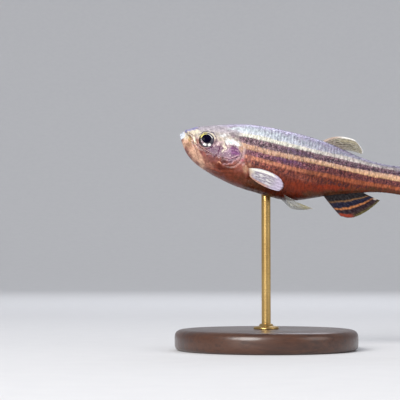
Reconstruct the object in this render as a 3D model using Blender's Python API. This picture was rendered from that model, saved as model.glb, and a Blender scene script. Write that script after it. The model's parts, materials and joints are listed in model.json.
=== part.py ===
"""A zebra danio, life size, swimming head-up on a plain display stand.

Sizes are in millimetres, in the fish's own straight frame: x runs from the tip of the lower jaw
to the tail, -y is the fish's left side and z is up. Each piece is made there as a closed solid,
then bent along the swimming curve, banked, pitched and set on its stand, in metres.
"""

from collections import namedtuple
from math import copysign, cos, pi, radians, sin

import bmesh
import bpy
import numpy as np
from mathutils import Matrix, Vector

# ---------------------------------------------------------------- driving sizes

METRE = 0.001  # one millimetre in metres
GAP = 0.3  # clear space between two nodes that touch on the real fish
BODY_LENGTH = 33.6  # tip of the lower jaw to the root of the tail fin

HEAD_END = 9.3  # where the gill opening parts head and trunk
VENT = 21.5  # where the trunk ends and the tail begins

# The body's outline at its named stations. Heights are measured from the long axis.
Station = namedtuple("Station", "name x back belly half_width widest squareness")
STATIONS = (
    Station("jaw_tip", 0.00, 0.00, 0.00, 0.00, 0.00, 2.0),
    Station("lips", 0.45, 0.50, -0.90, 0.76, -0.15, 2.1),
    Station("snout", 1.30, 1.17, -2.22, 1.30, -0.45, 2.2),
    Station("eye", 3.50, 2.07, -3.90, 2.00, -0.75, 2.3),
    Station("cheek", 6.10, 2.87, -4.87, 2.45, -1.10, 2.3),
    Station("gill_opening", 9.60, 3.66, -5.76, 2.86, -1.50, 2.2),
    Station("breast", 13.80, 3.90, -6.15, 3.08, -1.80, 2.1),
    Station("belly", 17.40, 3.80, -6.12, 2.92, -1.55, 2.1),
    Station("vent", 21.60, 3.32, -4.62, 2.15, -0.80, 2.0),
    Station("fin_end", 26.00, 2.24, -3.22, 1.42, -0.35, 2.0),
    Station("tail_stalk", 30.00, 1.86, -2.42, 0.86, -0.25, 2.0),
    Station("tail_root", BODY_LENGTH, 2.12, -2.42, 0.50, -0.15, 2.0),
)
RING_POINTS = 36
HEAD_RINGS, TRUNK_RINGS, TAIL_RINGS = 18, 12, 13

# Swimming curve and pose
TURN_START, TURN_END = 15.0, 42.0
TAIL_TURN = radians(11.0)  # how far the tail's end swings to the fish's left
PITCH = radians(12.0)  # head up
BANK = radians(17.0)  # belly towards the fish's left

# Eyes
EYE_X, EYE_Z = 3.92, -0.74
EYE_RADIUS = 1.18
EYE_DEPTH = 0.78  # half the eyeball's thickness, along its own axis
EYE_SUNK = 0.36  # the eyeball's centre below the skin
PUPIL_RADIUS = 0.68
LENS_RISE = 0.07  # how far the pupil's dome stands out of the eyeball
EYE_STEPS = 24

# Mouth: the cut between the lower jaw and the head, seen from the side
MOUTH_TIP = (0.62, 0.52)
MOUTH_CORNER = (1.80, -0.80)
JAW_JOINT = (3.10, -2.40)
JAW_UNDERSIDE = (3.75, -4.90)
LIP_RADIUS, LIP_CORNER_RADIUS = 0.26, 0.16
LIP_APART = 0.27  # a lip's middle from the mouth line
NOSTRIL_X = (2.05, 2.42)
NOSTRIL_TURN = radians(38.0)
NOSTRIL_RADIUS = 0.17

# Gill cover: a plate let into the side of the head
COVER_X, COVER_Z = 7.65, -1.80
COVER_FRONT, COVER_REAR = 1.55, 1.55  # reach ahead of and behind its centre
COVER_TOP, COVER_BOTTOM = 1.95, 2.05
COVER_SQUARENESS = 2.5
COVER_RISE, COVER_THICKNESS = 0.14, 0.55
COVER_RINGS, COVER_STEPS = 4, 24

# Fins
WEB_HALF = 0.25  # half the thickness of a fin's membrane
WEB_TIP = 0.09
RAY_RISE = 0.11  # how far a ray stands out of each face
RAY_SHARE = 0.34  # a ray's half width as a share of the space between rays

# Stand
BASE_RADIUS, BASE_HEIGHT, BASE_CHAMFER = 13.0, 3.0, 0.5
ROD_RADIUS = 0.65
ROD_UNDER = 13.8  # the rod meets the fish this far behind the jaw tip
BELLY_HEIGHT = 22.0  # the belly above the floor, at the rod


# ---------------------------------------------------------------- curves and the body's skin

def spline(knots, values):
    """A natural cubic curve through the values, as a function of the knots' variable."""
    knots, values = np.array(knots, float), np.array(values, float)
    step = np.diff(knots)
    slope = np.diff(values) / step
    system, wanted = np.eye(len(knots)), np.zeros(len(knots))
    for i in range(1, len(knots) - 1):
        system[i, i - 1 : i + 2] = step[i - 1], 2 * (step[i - 1] + step[i]), step[i]
        wanted[i] = 6 * (slope[i] - slope[i - 1])
    bend = np.linalg.solve(system, wanted)

    def at(x):
        i = min(max(int(np.searchsorted(knots, x)) - 1, 0), len(step) - 1)
        h, a, b = step[i], knots[i + 1] - x, x - knots[i]
        curved = bend[i] * (a**3 / h - h * a) + bend[i + 1] * (b**3 / h - h * b)
        return float(curved / 6 + (values[i] * a + values[i + 1] * b) / h)

    return at


# The stations are spaced by the root of their place, so that the snout comes out round.
ROOTS = [(s.x / BODY_LENGTH) ** 0.5 for s in STATIONS]
OUTLINE = {
    key: spline(ROOTS, [getattr(s, key) for s in STATIONS])
    for key in ("back", "belly", "half_width", "widest", "squareness")
}


def girth(x):
    """The section's back, belly, half width, widest height and squareness at x."""
    root = (max(x, 0.0) / BODY_LENGTH) ** 0.5
    return tuple(OUTLINE[key](root) for key in OUTLINE)


def skin(x, turn, grow=0.0):
    """A point of the skin. turn is 0 on the back, a quarter turn on the left side, half on the belly."""
    back, belly, half_width, widest, squareness = girth(x)
    side, up = sin(turn), cos(turn)
    reach = (back - widest if up > 0 else widest - belly) + grow
    y = -(half_width + grow) * copysign(abs(side) ** (2 / squareness), side)
    z = widest + reach * copysign(abs(up) ** (2 / squareness), up)
    return Vector((x, y, z))


def flank(x, z, grow=0.0):
    """The left side's half breadth at x and height z, or 0 outside the outline."""
    back, belly, half_width, widest, squareness = girth(x)
    reach = (back - widest if z > widest else widest - belly) + grow
    share = abs(z - widest) / max(reach, 1e-6)
    if share >= 1:
        return 0.0
    return (half_width + grow) * (1 - share**squareness) ** (1 / squareness)


def outward(x, z, side=-1):
    """The skin's outward direction on a flank, at x and height z."""
    small = 0.05
    by_x = (flank(x + small, z) - flank(x - small, z)) / (2 * small)
    by_z = (flank(x, z + small) - flank(x, z - small)) / (2 * small)
    return Vector((-by_x, side, -by_z)).normalized()


def on_flank(x, z, lift=0.0, side=-1):
    """A point on a flank, lifted off the skin along its outward direction."""
    return Vector((x, side * flank(x, z), z)) + outward(x, z, side) * lift


def smooth(t):
    t = min(max(t, 0.0), 1.0)
    return t * t * (3 - 2 * t)


# ---------------------------------------------------------------- pose

def heading(x):
    return TAIL_TURN * smooth((x - TURN_START) / (TURN_END - TURN_START))


def centre_line(x, steps=40):
    """Where the long axis is after the bend, by adding up short straight pieces."""
    place = Vector((min(x, TURN_START), 0, 0))
    length = (x - TURN_START) / steps
    for i in range(steps if x > TURN_START else 0):
        turned = heading(TURN_START + (i + 0.5) * length)
        place += Vector((cos(turned), -sin(turned), 0)) * length
    return place


def bent(p):
    """A point of the straight fish, moved with the bend of its tail."""
    turned = heading(p.x)
    return centre_line(p.x) + Vector((sin(turned), cos(turned), 0)) * p.y + Vector((0, 0, p.z))


TILTED = Matrix.Rotation(PITCH, 4, "Y") @ Matrix.Rotation(-BANK, 4, "X")
HELD = TILTED @ bent(skin(ROD_UNDER, pi))
PLACED = Matrix.Translation((-HELD.x, 0, BELLY_HEIGHT - HELD.z)) @ TILTED


def posed(p):
    return PLACED @ bent(p)


# ---------------------------------------------------------------- mesh helpers

def material(name, colour, roughness, metallic=0.0, alpha=1.0):
    made = bpy.data.materials.new(name)
    made.use_nodes = True
    shader = made.node_tree.nodes["Principled BSDF"]
    shader.inputs["Base Color"].default_value = (*colour, 1)
    shader.inputs["Roughness"].default_value = roughness
    shader.inputs["Metallic"].default_value = metallic
    shader.inputs["Alpha"].default_value = alpha
    return made


def make(name, points, faces, finish=None):
    """A new object from points and faces, its faces turned outwards."""
    mesh = bpy.data.meshes.new(name)
    mesh.from_pydata([tuple(p) for p in points], [], faces)
    shape = bmesh.new()
    shape.from_mesh(mesh)
    bmesh.ops.recalc_face_normals(shape, faces=shape.faces)
    shape.to_mesh(mesh)
    shape.free()
    obj = bpy.data.objects.new(name, mesh)
    bpy.context.scene.collection.objects.link(obj)
    if finish:
        mesh.materials.append(finish)
    return obj


def remove(*objects):
    for obj in objects:
        bpy.data.objects.remove(obj)


def combine(obj, operation, others):
    """Joins obj with the others, or cuts them from it, in one Boolean, and removes the others."""
    group = bpy.data.collections.new(operation)
    for other in others:
        group.objects.link(other)
    step = obj.modifiers.new(operation, "BOOLEAN")
    step.operation = operation
    step.operand_type = "COLLECTION"
    step.collection = group
    step.solver = "EXACT"
    bpy.context.view_layer.update()
    graph = bpy.context.evaluated_depsgraph_get()
    result = bpy.data.meshes.new_from_object(obj.evaluated_get(graph))
    obj.modifiers.remove(step)
    obj.data = result
    remove(*others)
    bpy.data.collections.remove(group)
    keep_largest(obj)
    return obj


def keep_largest(obj):
    """Keeps the largest closed surface of a mesh and drops any scrap."""
    shape = bmesh.new()
    shape.from_mesh(obj.data)
    left, islands = set(shape.faces), []
    while left:
        island, border = set(), [left.pop()]
        while border:
            face = border.pop()
            island.add(face)
            for edge in face.edges:
                for other in edge.link_faces:
                    if other in left:
                        left.remove(other)
                        border.append(other)
        islands.append(island)
    largest = max(islands, key=lambda found: sum(face.calc_area() for face in found))
    scraps = [face for found in islands if found is not largest for face in found]
    bmesh.ops.delete(shape, geom=scraps, context="FACES")
    bmesh.ops.triangulate(shape, faces=shape.faces)
    shape.to_mesh(obj.data)
    shape.free()


def stacked(name, rings, finish=None):
    """A closed skin over rings of equal count. A ring of one point closes an end to a tip."""
    points, faces, starts = [], [], []
    for ring in rings:
        starts.append(len(points))
        points.extend(ring)
    for (a, first), (b, second) in zip(zip(starts, rings), zip(starts[1:], rings[1:])):
        count = max(len(first), len(second))
        for i in range(count):
            j = (i + 1) % count
            if len(first) == 1:
                faces.append((a, b + i, b + j))
            elif len(second) == 1:
                faces.append((a + i, b, a + j))
            else:
                faces.append((a + i, b + i, b + j, a + j))
    for start, ring in ((starts[0], rings[0]), (starts[-1], rings[-1])):
        if len(ring) > 1:
            faces.append(tuple(start + i for i in range(len(ring))))
    return make(name, points, faces, finish)


def tube(name, path, radii, sides=8):
    """A round tube along a path, closed at both ends."""
    rings = []
    for i, (p, radius) in enumerate(zip(path, radii)):
        ahead = (path[min(i + 1, len(path) - 1)] - path[max(i - 1, 0)]).normalized()
        across = ahead.cross(Vector((0, 0, 1)) if abs(ahead.z) < 0.9 else Vector((1, 0, 0))).normalized()
        over = across.cross(ahead)
        rings.append(
            [p + (across * cos(k) + over * sin(k)) * radius for k in np.linspace(0, 2 * pi, sides, False)]
        )
    return stacked(name, rings)


def slab(name, outline, half_width):
    """A prism across the fish: an outline of (x, z) points, as wide as given on both sides."""
    count = len(outline)
    points = [Vector((x, y, z)) for y in (-half_width, half_width) for x, z in outline]
    sides = [(i, (i + 1) % count, (i + 1) % count + count, i + count) for i in range(count)]
    return make(name, points, [tuple(range(count)), tuple(range(count, 2 * count)), *sides])


# ---------------------------------------------------------------- body

def body_length(name, start, end, rings, grow=0.0):
    """A stretch of the body between two places along it."""
    places = [start + (end - start) * i / rings for i in range(rings + 1)]
    if start == 0:
        places = [end * (i / rings) ** 2 for i in range(1, rings + 1)]
    turns = np.linspace(0, 2 * pi, RING_POINTS, False)
    loops = [[skin(x, turn, grow) for turn in turns] for x in places]
    if start == 0:
        loops.insert(0, [skin(0, 0)])
    return stacked(name, loops)


def mouth_line(offset):
    """The cut between jaw and head from the side, moved by offset towards the head."""
    ahead = Vector((MOUTH_TIP[0] - MOUTH_CORNER[0], MOUTH_TIP[1] - MOUTH_CORNER[1]))
    outside = Vector(MOUTH_TIP) + ahead
    corners = [outside, Vector(MOUTH_TIP), Vector(MOUTH_CORNER), Vector(JAW_JOINT), Vector(JAW_UNDERSIDE)]
    knots = [0.0]
    for a, b in zip(corners, corners[1:]):
        knots.append(knots[-1] + (b - a).length)
    by_x = spline(knots, [c.x for c in corners])
    by_z = spline(knots, [c.y for c in corners])
    line = []
    for k in np.linspace(0, knots[-1], 15):
        along = Vector((by_x(k + 0.01) - by_x(k - 0.01), by_z(k + 0.01) - by_z(k - 0.01))).normalized()
        line.append((by_x(k) - along.y * offset, by_z(k) + along.x * offset))
    return line


def jaw_block(name, offset):
    """Everything ahead of and below the mouth line."""
    line = mouth_line(offset)
    return slab(name, [*line, (-2.0, line[-1][1]), (-2.0, line[0][1])], 4.0)


def lip(name, offset):
    """A lip round the mouth from corner to corner, on the skin beside the mouth line."""
    ahead = Vector((MOUTH_TIP[0] - MOUTH_CORNER[0], MOUTH_TIP[1] - MOUTH_CORNER[1])).normalized()
    aside = Vector((-ahead.y, ahead.x)) * offset
    start = Vector(MOUTH_CORNER) + aside
    reach = 0.0
    while flank(start.x + ahead.x * reach, start.y + ahead.y * reach) > 0.02 and reach < 3:
        reach += 0.01
    shares = [1 - cos(pi / 2 * i / 6) for i in range(7)]
    half = []
    for share in reversed(shares):
        spot = start + ahead * reach * (1 - share)
        half.append(Vector((spot.x, -flank(spot.x, spot.y), spot.y)))
    half.sort(key=lambda p: p.y)
    other = [Vector((p.x, -p.y, p.z)) for p in reversed(half[:-1])]
    half[-1].y = 0
    path = half + other
    middle = (len(path) - 1) / 2
    radii = [
        LIP_RADIUS + (LIP_CORNER_RADIUS - LIP_RADIUS) * (abs(i - middle) / middle) ** 2
        for i in range(len(path))
    ]
    return tube(name, path, radii)


def turned_eye(name, side, finish):
    """The eyeball, turned round its own axis, with the pupil standing out as a low dome."""
    profile = []
    for k in np.linspace(0, pi, 11):
        profile.append((EYE_RADIUS * sin(k), EYE_DEPTH * cos(k)))
    rim = [(r, h) for r, h in profile if h < 0 or r > PUPIL_RADIUS * 1.12]
    height = EYE_DEPTH * (1 - (PUPIL_RADIUS / EYE_RADIUS) ** 2) ** 0.5
    dome = [
        (PUPIL_RADIUS * cos(k), height + (EYE_DEPTH - height + LENS_RISE) * sin(k))
        for k in np.linspace(pi / 2, 0, 4)
    ]
    groove = [(PUPIL_RADIUS * 1.06, height - 0.05)]
    profile = dome + groove + rim
    centre = on_flank(EYE_X, EYE_Z, -EYE_SUNK, side)
    steps = np.linspace(0, 2 * pi, EYE_STEPS, False)
    rings = []
    for r, h in profile:
        ring = [centre + Vector((r * cos(k), side * h, r * sin(k))) for k in steps]
        rings.append(ring if r > 1e-6 else ring[:1])
    return stacked(name, rings, finish)


def socket(name, side):
    """The hollow that the eyeball sits in, larger than it by the gap."""
    centre = on_flank(EYE_X, EYE_Z, -EYE_SUNK, side)
    steps = np.linspace(0, 2 * pi, EYE_STEPS, False)
    rings = []
    for k in np.linspace(0, pi, 10):
        r, h = (EYE_RADIUS + GAP) * sin(k), (EYE_DEPTH + GAP) * cos(k)
        ring = [centre + Vector((r * cos(s), side * h, r * sin(s))) for s in steps]
        rings.append(ring if r > 1e-6 else ring[:1])
    return stacked(name, rings)


def nostril(name, x, side):
    place = skin(x, NOSTRIL_TURN)
    pit = bpy.data.meshes.new(name)
    shape = bmesh.new()
    bmesh.ops.create_icosphere(shape, subdivisions=2, radius=NOSTRIL_RADIUS)
    bmesh.ops.translate(shape, verts=shape.verts, vec=(place.x, -side * place.y, place.z))
    shape.to_mesh(pit)
    shape.free()
    obj = bpy.data.objects.new(name, pit)
    bpy.context.scene.collection.objects.link(obj)
    return obj


def cover(name, side, outer, inner, wider=0.0, rounding=0.0, finish=None):
    """A plate that follows the side of the head, from inner to outer above the skin."""
    middle, power = (outer + inner) / 2, 2 / COVER_SQUARENESS
    sheets = []
    for lift in (outer, inner):
        sheet = [[on_flank(COVER_X, COVER_Z, lift, side)]]
        for ring in range(1, COVER_RINGS + 1):
            share = ring / COVER_RINGS
            eased = lift + (middle - lift) * rounding * share**6
            loop = []
            for k in np.linspace(0, 2 * pi, COVER_STEPS, False):
                across = share * ((COVER_REAR if cos(k) > 0 else COVER_FRONT) + wider)
                over = share * ((COVER_TOP if sin(k) > 0 else COVER_BOTTOM) + wider)
                x = COVER_X + across * copysign(abs(cos(k)) ** power, cos(k))
                z = COVER_Z + over * copysign(abs(sin(k)) ** power, sin(k))
                loop.append(on_flank(x, z, eased, side))
            sheet.append(loop)
        sheets.append(sheet)
    return stacked(name, sheets[0] + sheets[1][::-1], finish)


def gill_pockets():
    """The hollows that the two gill covers sit in, larger than them by the gap."""
    inner = COVER_RISE - COVER_THICKNESS - GAP
    return [cover(f"pocket_{side}", side, 1.2, inner, GAP) for side in (-1, 1)]


def build_head(skin_finish, cover_finish, eye_finish):
    head = body_length("head", 0, HEAD_END, HEAD_RINGS)
    combine(head, "UNION", [lip("upper_lip", LIP_APART), lip("lower_lip", -LIP_APART)])
    jaw = head.copy()
    jaw.data = head.data.copy()
    jaw.name = "lower_jaw"
    bpy.context.scene.collection.objects.link(jaw)
    combine(jaw, "INTERSECT", [jaw_block("jaw_front", -GAP / 2)])
    cuts = [jaw_block("jaw_room", GAP / 2), *gill_pockets()]
    for side, word in ((-1, "left"), (1, "right")):
        cuts.append(socket("socket_" + word, side))
        cuts.extend(nostril(f"nostril_{word}_{i}", x, side) for i, x in enumerate(NOSTRIL_X))
    combine(head, "DIFFERENCE", cuts)
    for obj in (head, jaw):
        obj.data.materials.clear()
        obj.data.materials.append(skin_finish)
    nodes = [head, jaw]
    for side, word in ((-1, "left"), (1, "right")):
        nodes.append(turned_eye("eye_" + word, side, eye_finish))
        under = COVER_RISE - COVER_THICKNESS
        nodes.append(cover("gill_cover_" + word, side, COVER_RISE, under, 0, 0.35, cover_finish))
    return nodes


def build_trunk_and_tail(finish):
    trunk = body_length("trunk", HEAD_END + GAP, VENT, TRUNK_RINGS)
    combine(trunk, "DIFFERENCE", gill_pockets())
    tail = body_length("tail", VENT + GAP, BODY_LENGTH, TAIL_RINGS)
    for obj in (trunk, tail):
        obj.data.materials.clear()
        obj.data.materials.append(finish)
    return [trunk, tail]


# ---------------------------------------------------------------- barbels

Barbel = namedtuple("Barbel", "name x z length droop spread")
BARBELS = (
    Barbel("barbel_rostral", 1.20, 0.10, 1.2, 0.75, 0.05),
    Barbel("barbel_maxillary", 2.20, -1.30, 3.4, 1.75, 0.10),
)
BARBEL_ROOT, BARBEL_TIP = 0.25, 0.07  # radii
BARBEL_STEPS = 7


def barbel(kind, side, finish):
    """A feeler that leaves the skin square to it, then trails back along the cheek, clear of it."""
    root = on_flank(kind.x, kind.z, GAP, side)
    path, radii = [root], [BARBEL_ROOT]
    for t in np.linspace(0, 1, BARBEL_STEPS)[1:]:
        x = root.x + kind.length * (0.25 * t + 0.75 * t * t)
        z = root.z - kind.droop * (0.55 * t + 0.45 * t * t)
        clear = GAP + BARBEL_ROOT + kind.spread * t
        path.append(Vector((x, side * (flank(x, z) + clear), z)))
        radii.append(BARBEL_ROOT + (BARBEL_TIP - BARBEL_ROOT) * t)
    obj = tube(f"{kind.name}_{'left' if side < 0 else 'right'}", path, radii, sides=6)
    obj.data.materials.append(finish)
    return obj


# ---------------------------------------------------------------- fins

def fin(name, place, rays, rows, finish, root_half=WEB_HALF):
    """A fin as one closed membrane with its rays raised on both faces.

    place(r, t) gives the point and the face's direction at r across the fin and t along its rays.
    """
    columns = []
    for i in range(rays):
        middle = (i + 0.5) / rays
        columns += [
            (middle - RAY_SHARE / rays, 0.0),
            (middle, 1.0),
            (middle + RAY_SHARE / rays, 0.0),
        ]
    columns[0] = (0.0, columns[0][1])
    columns[-1] = (1.0, columns[-1][1])
    faces_up, faces_down = [], []
    for r, ridge in columns:
        up, down = [], []
        for k in range(rows + 1):
            t = k / rows
            p, face = place(r, t)
            web = root_half + (WEB_HALF - root_half) * smooth(t * 3)
            half = web + (WEB_TIP - web) * smooth((t - 0.8) / 0.2)
            half += ridge * RAY_RISE * (1 - t * t) * smooth(0.3 + t * 4)
            up.append(p + face * half)
            down.append(p - face * half)
        faces_up.append(up)
        faces_down.append(down)
    wide, tall = len(columns), rows + 1
    points = [p for column in faces_up for p in column] + [p for column in faces_down for p in column]
    other, tris = wide * tall, []
    for c in range(wide - 1):
        for k in range(rows):
            a, b = c * tall + k, (c + 1) * tall + k
            tris += [(a, b, a + 1), (b, b + 1, a + 1)]
            tris += [(a + other, a + 1 + other, b + other), (b + other, a + 1 + other, b + 1 + other)]
    border = [c * tall for c in range(wide)] + [(wide - 1) * tall + k for k in range(1, tall)]
    border += [c * tall + rows for c in range(wide - 2, -1, -1)] + [k for k in range(rows - 1, 0, -1)]
    for a, b in zip(border, border[1:] + border[:1]):
        tris += [(a, a + other, b), (b, a + other, b + other)]
    return make(name, points, tris, finish)


MedianFin = namedtuple("MedianFin", "name start end slopes lengths curls rays rows")
DORSAL = MedianFin(
    "fin_dorsal", 20.4, 24.1, (41, 32, 15, 0), (4.65, 3.97, 3.36, 1.9), (-30, -24, -16, -6), 8, 7,
)
ANAL = MedianFin(
    "fin_anal", 21.95, 27.6, (-43, -51, -41, -17), (3.6, 3.8, 3.2, 2.2), (2, 2, 2, 2), 12, 7,
)


def median_fin(kind, above, finish):
    """A fin on the midline, its root following the back or the belly at the gap."""
    knots = np.linspace(0, 1, len(kind.slopes))
    slope, length, curl = (spline(knots, values) for values in (kind.slopes, kind.lengths, kind.curls))

    def place(r, t):
        x = kind.start + (kind.end - kind.start) * r
        back, belly, *_ = girth(x)
        root = Vector((x, 0, back + GAP if above else belly - GAP))
        lean = radians(slope(r) + curl(r) * t)
        return root + Vector((cos(lean), 0, sin(lean))) * length(r) * t, Vector((0, 1, 0))

    return fin(kind.name, place, kind.rays, kind.rows, finish)


# The tail fin, from its upper edge to its lower edge
TAIL_FIN_SLOPES = (27, 24, 12, 0, -12, -24, -28)
TAIL_FIN_LENGTHS = (6.6, 9.0, 7.3, 6.1, 7.1, 8.5, 6.2)
TAIL_FIN_RAYS, TAIL_FIN_ROWS = 15, 9


def tail_fin(finish):
    knots = np.linspace(0, 1, len(TAIL_FIN_SLOPES))
    slope, length = spline(knots, TAIL_FIN_SLOPES), spline(knots, TAIL_FIN_LENGTHS)
    back, belly, half_width, *_ = girth(BODY_LENGTH)

    def place(r, t):
        root = Vector((BODY_LENGTH + GAP, 0, back + (belly - back) * (0.04 + 0.92 * r)))
        lean = radians(slope(r))
        return root + Vector((cos(lean), 0, sin(lean))) * length(r) * t, Vector((0, 1, 0))

    return fin("fin_tail", place, TAIL_FIN_RAYS, TAIL_FIN_ROWS, finish, root_half=0.3)


PairedFin = namedtuple("PairedFin", "name roots drops curls splays lengths rays rows")
PECTORAL_ROOTS = (10.35, -3.85), (10.80, -4.70)
PECTORAL_LENGTHS = (5.7, 6.15, 6.05, 5.4)
PECTORAL_LEFT = PairedFin(
    "fin_pectoral_left", PECTORAL_ROOTS, (-4, 9, 23, 37), (20, 9, -3, -15), (30, 28, 26, 24),
    PECTORAL_LENGTHS, 9, 8,
)
PECTORAL_RIGHT = PairedFin(
    "fin_pectoral_right", PECTORAL_ROOTS, (-16, -9, 0, 9), (12, 7, 0, -7), (12, 11, 10, 9),
    PECTORAL_LENGTHS, 9, 8,
)
PELVIC_ROOTS = (16.20, -6.03), (16.80, -6.08)
PELVIC_LENGTHS = (1.7, 2.75, 3.4, 3.9)
PELVIC_LEFT = PairedFin(
    "fin_pelvic_left", PELVIC_ROOTS, (54, 34, 20, 11), (-10, -8, -4, 0), (16, 12, 8, 4),
    PELVIC_LENGTHS, 7, 6,
)
PELVIC_RIGHT = PairedFin(
    "fin_pelvic_right", PELVIC_ROOTS, (24, 11, 2, -4), (-8, -4, 0, 2), (10, 8, 6, 4),
    PELVIC_LENGTHS, 7, 6,
)


def paired_fin(kind, side, finish):
    """A fin on one side: its root lies on the flank, its rays lean back, out and down."""
    knots = np.linspace(0, 1, len(kind.drops))
    drop, curl, splay, length = (
        spline(knots, values) for values in (kind.drops, kind.curls, kind.splays, kind.lengths)
    )
    (x0, z0), (x1, z1) = kind.roots

    def ray(r, t):
        x, z = x0 + (x1 - x0) * r, z0 + (z1 - z0) * r
        down, out = radians(drop(r) + curl(r) * t), radians(splay(r))
        along = Vector((cos(down) * cos(out), side * cos(down) * sin(out), -sin(down)))
        return on_flank(x, z, GAP + WEB_HALF * 0.6, side) + along * length(r) * t

    def place(r, t):
        small = 0.02
        across = ray(min(r + small, 1), t) - ray(max(r - small, 0), t)
        along = ray(r, min(t + small, 1)) - ray(r, max(t - small, 0))
        return ray(r, t), across.cross(along).normalized() * -side

    return fin(kind.name, place, kind.rays, kind.rows, finish)


# ---------------------------------------------------------------- stand

def stand_base(finish):
    steps = np.linspace(0, 2 * pi, 48, False)
    profile = (
        (BASE_RADIUS - BASE_CHAMFER, 0),
        (BASE_RADIUS, BASE_CHAMFER),
        (BASE_RADIUS, BASE_HEIGHT - BASE_CHAMFER),
        (BASE_RADIUS - BASE_CHAMFER, BASE_HEIGHT),
    )
    rings = [[Vector((r * cos(k), r * sin(k), z)) for k in steps] for r, z in profile]
    return stacked("stand_base", rings, finish)


def stand_rod(finish):
    """A round rod up to the belly, its top shaped to the belly at the gap."""
    steps = np.linspace(0, 2 * pi, 20, False)
    levels = (BASE_HEIGHT + GAP, BELLY_HEIGHT + 2.0)
    rings = [[Vector((ROD_RADIUS * cos(k), ROD_RADIUS * sin(k), z)) for k in steps] for z in levels]
    rod = stacked("stand_rod", rings)
    room = body_length("belly_room", HEAD_END + GAP, VENT, TRUNK_RINGS, grow=GAP)
    for vertex in room.data.vertices:
        vertex.co = posed(vertex.co)
    combine(rod, "DIFFERENCE", [room])
    rod.data.materials.clear()
    rod.data.materials.append(finish)
    return rod


# ---------------------------------------------------------------- everything

def main():
    for obj in list(bpy.data.objects):
        bpy.data.objects.remove(obj)
    body = material("fish_skin", (0.62, 0.40, 0.28), 0.35)
    plate = material("gill_plate", (0.72, 0.55, 0.60), 0.3)
    eye = material("eye", (0.02, 0.02, 0.03), 0.1)
    clear = material("fin_clear", (0.55, 0.53, 0.42), 0.3, alpha=0.6)
    striped = material("fin_striped", (0.20, 0.14, 0.16), 0.3, alpha=0.85)
    wood = material("stand_wood", (0.12, 0.06, 0.035), 0.4)
    metal = material("stand_metal", (0.75, 0.6, 0.32), 0.3, metallic=1.0)

    fish = build_head(body, plate, eye)
    fish += build_trunk_and_tail(body)
    fish += [median_fin(DORSAL, True, clear), median_fin(ANAL, False, striped), tail_fin(striped)]
    for side in (-1, 1):
        fish += [barbel(kind, side, body) for kind in BARBELS]
    fish += [paired_fin(kind, -1, clear) for kind in (PECTORAL_LEFT, PELVIC_LEFT)]
    fish += [paired_fin(kind, 1, clear) for kind in (PECTORAL_RIGHT, PELVIC_RIGHT)]
    for obj in fish:
        for vertex in obj.data.vertices:
            vertex.co = posed(vertex.co)
    for obj in [*fish, stand_base(wood), stand_rod(metal)]:
        obj.data.transform(Matrix.Scale(METRE, 4))
        obj.data.shade_smooth()
        obj.data.set_sharp_from_angle(angle=radians(35))


main()
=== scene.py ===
# %% [markdown]
# # A zebra danio on its display stand
#
# A museum model of a small striped fish is made in two stages. Its solids, with every part in
# place, are finished first and are loaded here as a fixed frame. This lesson then dresses them:
# one unbroken skin, scales laid over it, fins as thin as real ones, wet eyes, and a turned stand.
# The frame could be shown as it is, but a moulded solid has no scales and no clear fins, so
# nearly every solid is replaced here by a finer piece that lies exactly where it does.


import json
from collections import namedtuple

import bpy
import numpy as np
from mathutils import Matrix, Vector

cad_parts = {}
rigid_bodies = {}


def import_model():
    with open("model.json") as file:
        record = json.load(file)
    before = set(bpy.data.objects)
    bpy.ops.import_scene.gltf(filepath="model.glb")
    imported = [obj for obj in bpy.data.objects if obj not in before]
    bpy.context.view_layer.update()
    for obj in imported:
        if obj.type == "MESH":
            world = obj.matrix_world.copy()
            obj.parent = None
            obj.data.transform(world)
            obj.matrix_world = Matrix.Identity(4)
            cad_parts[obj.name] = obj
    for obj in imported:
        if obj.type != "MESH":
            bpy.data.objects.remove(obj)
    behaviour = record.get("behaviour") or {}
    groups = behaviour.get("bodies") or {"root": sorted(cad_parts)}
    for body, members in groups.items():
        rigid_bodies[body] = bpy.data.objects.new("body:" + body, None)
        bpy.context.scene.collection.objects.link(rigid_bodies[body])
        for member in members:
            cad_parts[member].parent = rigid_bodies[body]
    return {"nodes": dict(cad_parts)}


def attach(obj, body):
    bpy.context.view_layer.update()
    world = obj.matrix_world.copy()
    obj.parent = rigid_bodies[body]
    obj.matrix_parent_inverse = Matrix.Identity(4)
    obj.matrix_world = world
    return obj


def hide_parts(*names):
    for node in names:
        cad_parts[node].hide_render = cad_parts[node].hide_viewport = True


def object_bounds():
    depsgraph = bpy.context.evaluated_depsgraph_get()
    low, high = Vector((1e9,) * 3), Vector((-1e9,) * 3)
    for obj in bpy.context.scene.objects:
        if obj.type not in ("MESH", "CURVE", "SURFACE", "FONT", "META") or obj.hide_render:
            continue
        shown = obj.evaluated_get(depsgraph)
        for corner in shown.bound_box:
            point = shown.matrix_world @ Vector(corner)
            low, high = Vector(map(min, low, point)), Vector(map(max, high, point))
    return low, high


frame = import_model()
solid_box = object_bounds()
solid_size = [round(1000 * side, 1) for side in solid_box[1] - solid_box[0]]
print(len(frame["nodes"]), "solids, in a box of", solid_size, "mm")

# %% [markdown]
# ## The camera
#
# The viewer stands a little below the fish and looks slightly up at its left side. A long lens
# keeps the drawing of a small animal calm, as a wide one would swell its snout. The camera is
# placed by two points, where it is and what it looks at, because those are easy to reason about.

# %% Camera
MM = 0.001
LOOKED_AT = Vector((-9.4, 0.5, 21.35)) * MM
DISTANCE = 200.0 * MM
LOOKS_UP = np.radians(3.0)
LENS, SENSOR_WIDTH = 125.9, 36.0
NEAREST, FURTHEST = 0.01, 20.0


def place_facing(obj, place, aim):
    """Puts a camera or a lamp at a place, turned towards what it aims at."""
    obj.location = place
    obj.rotation_mode = "QUATERNION"
    obj.rotation_quaternion = (aim - place).to_track_quat("-Z", "Y")
    bpy.context.scene.collection.objects.link(obj)


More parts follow.
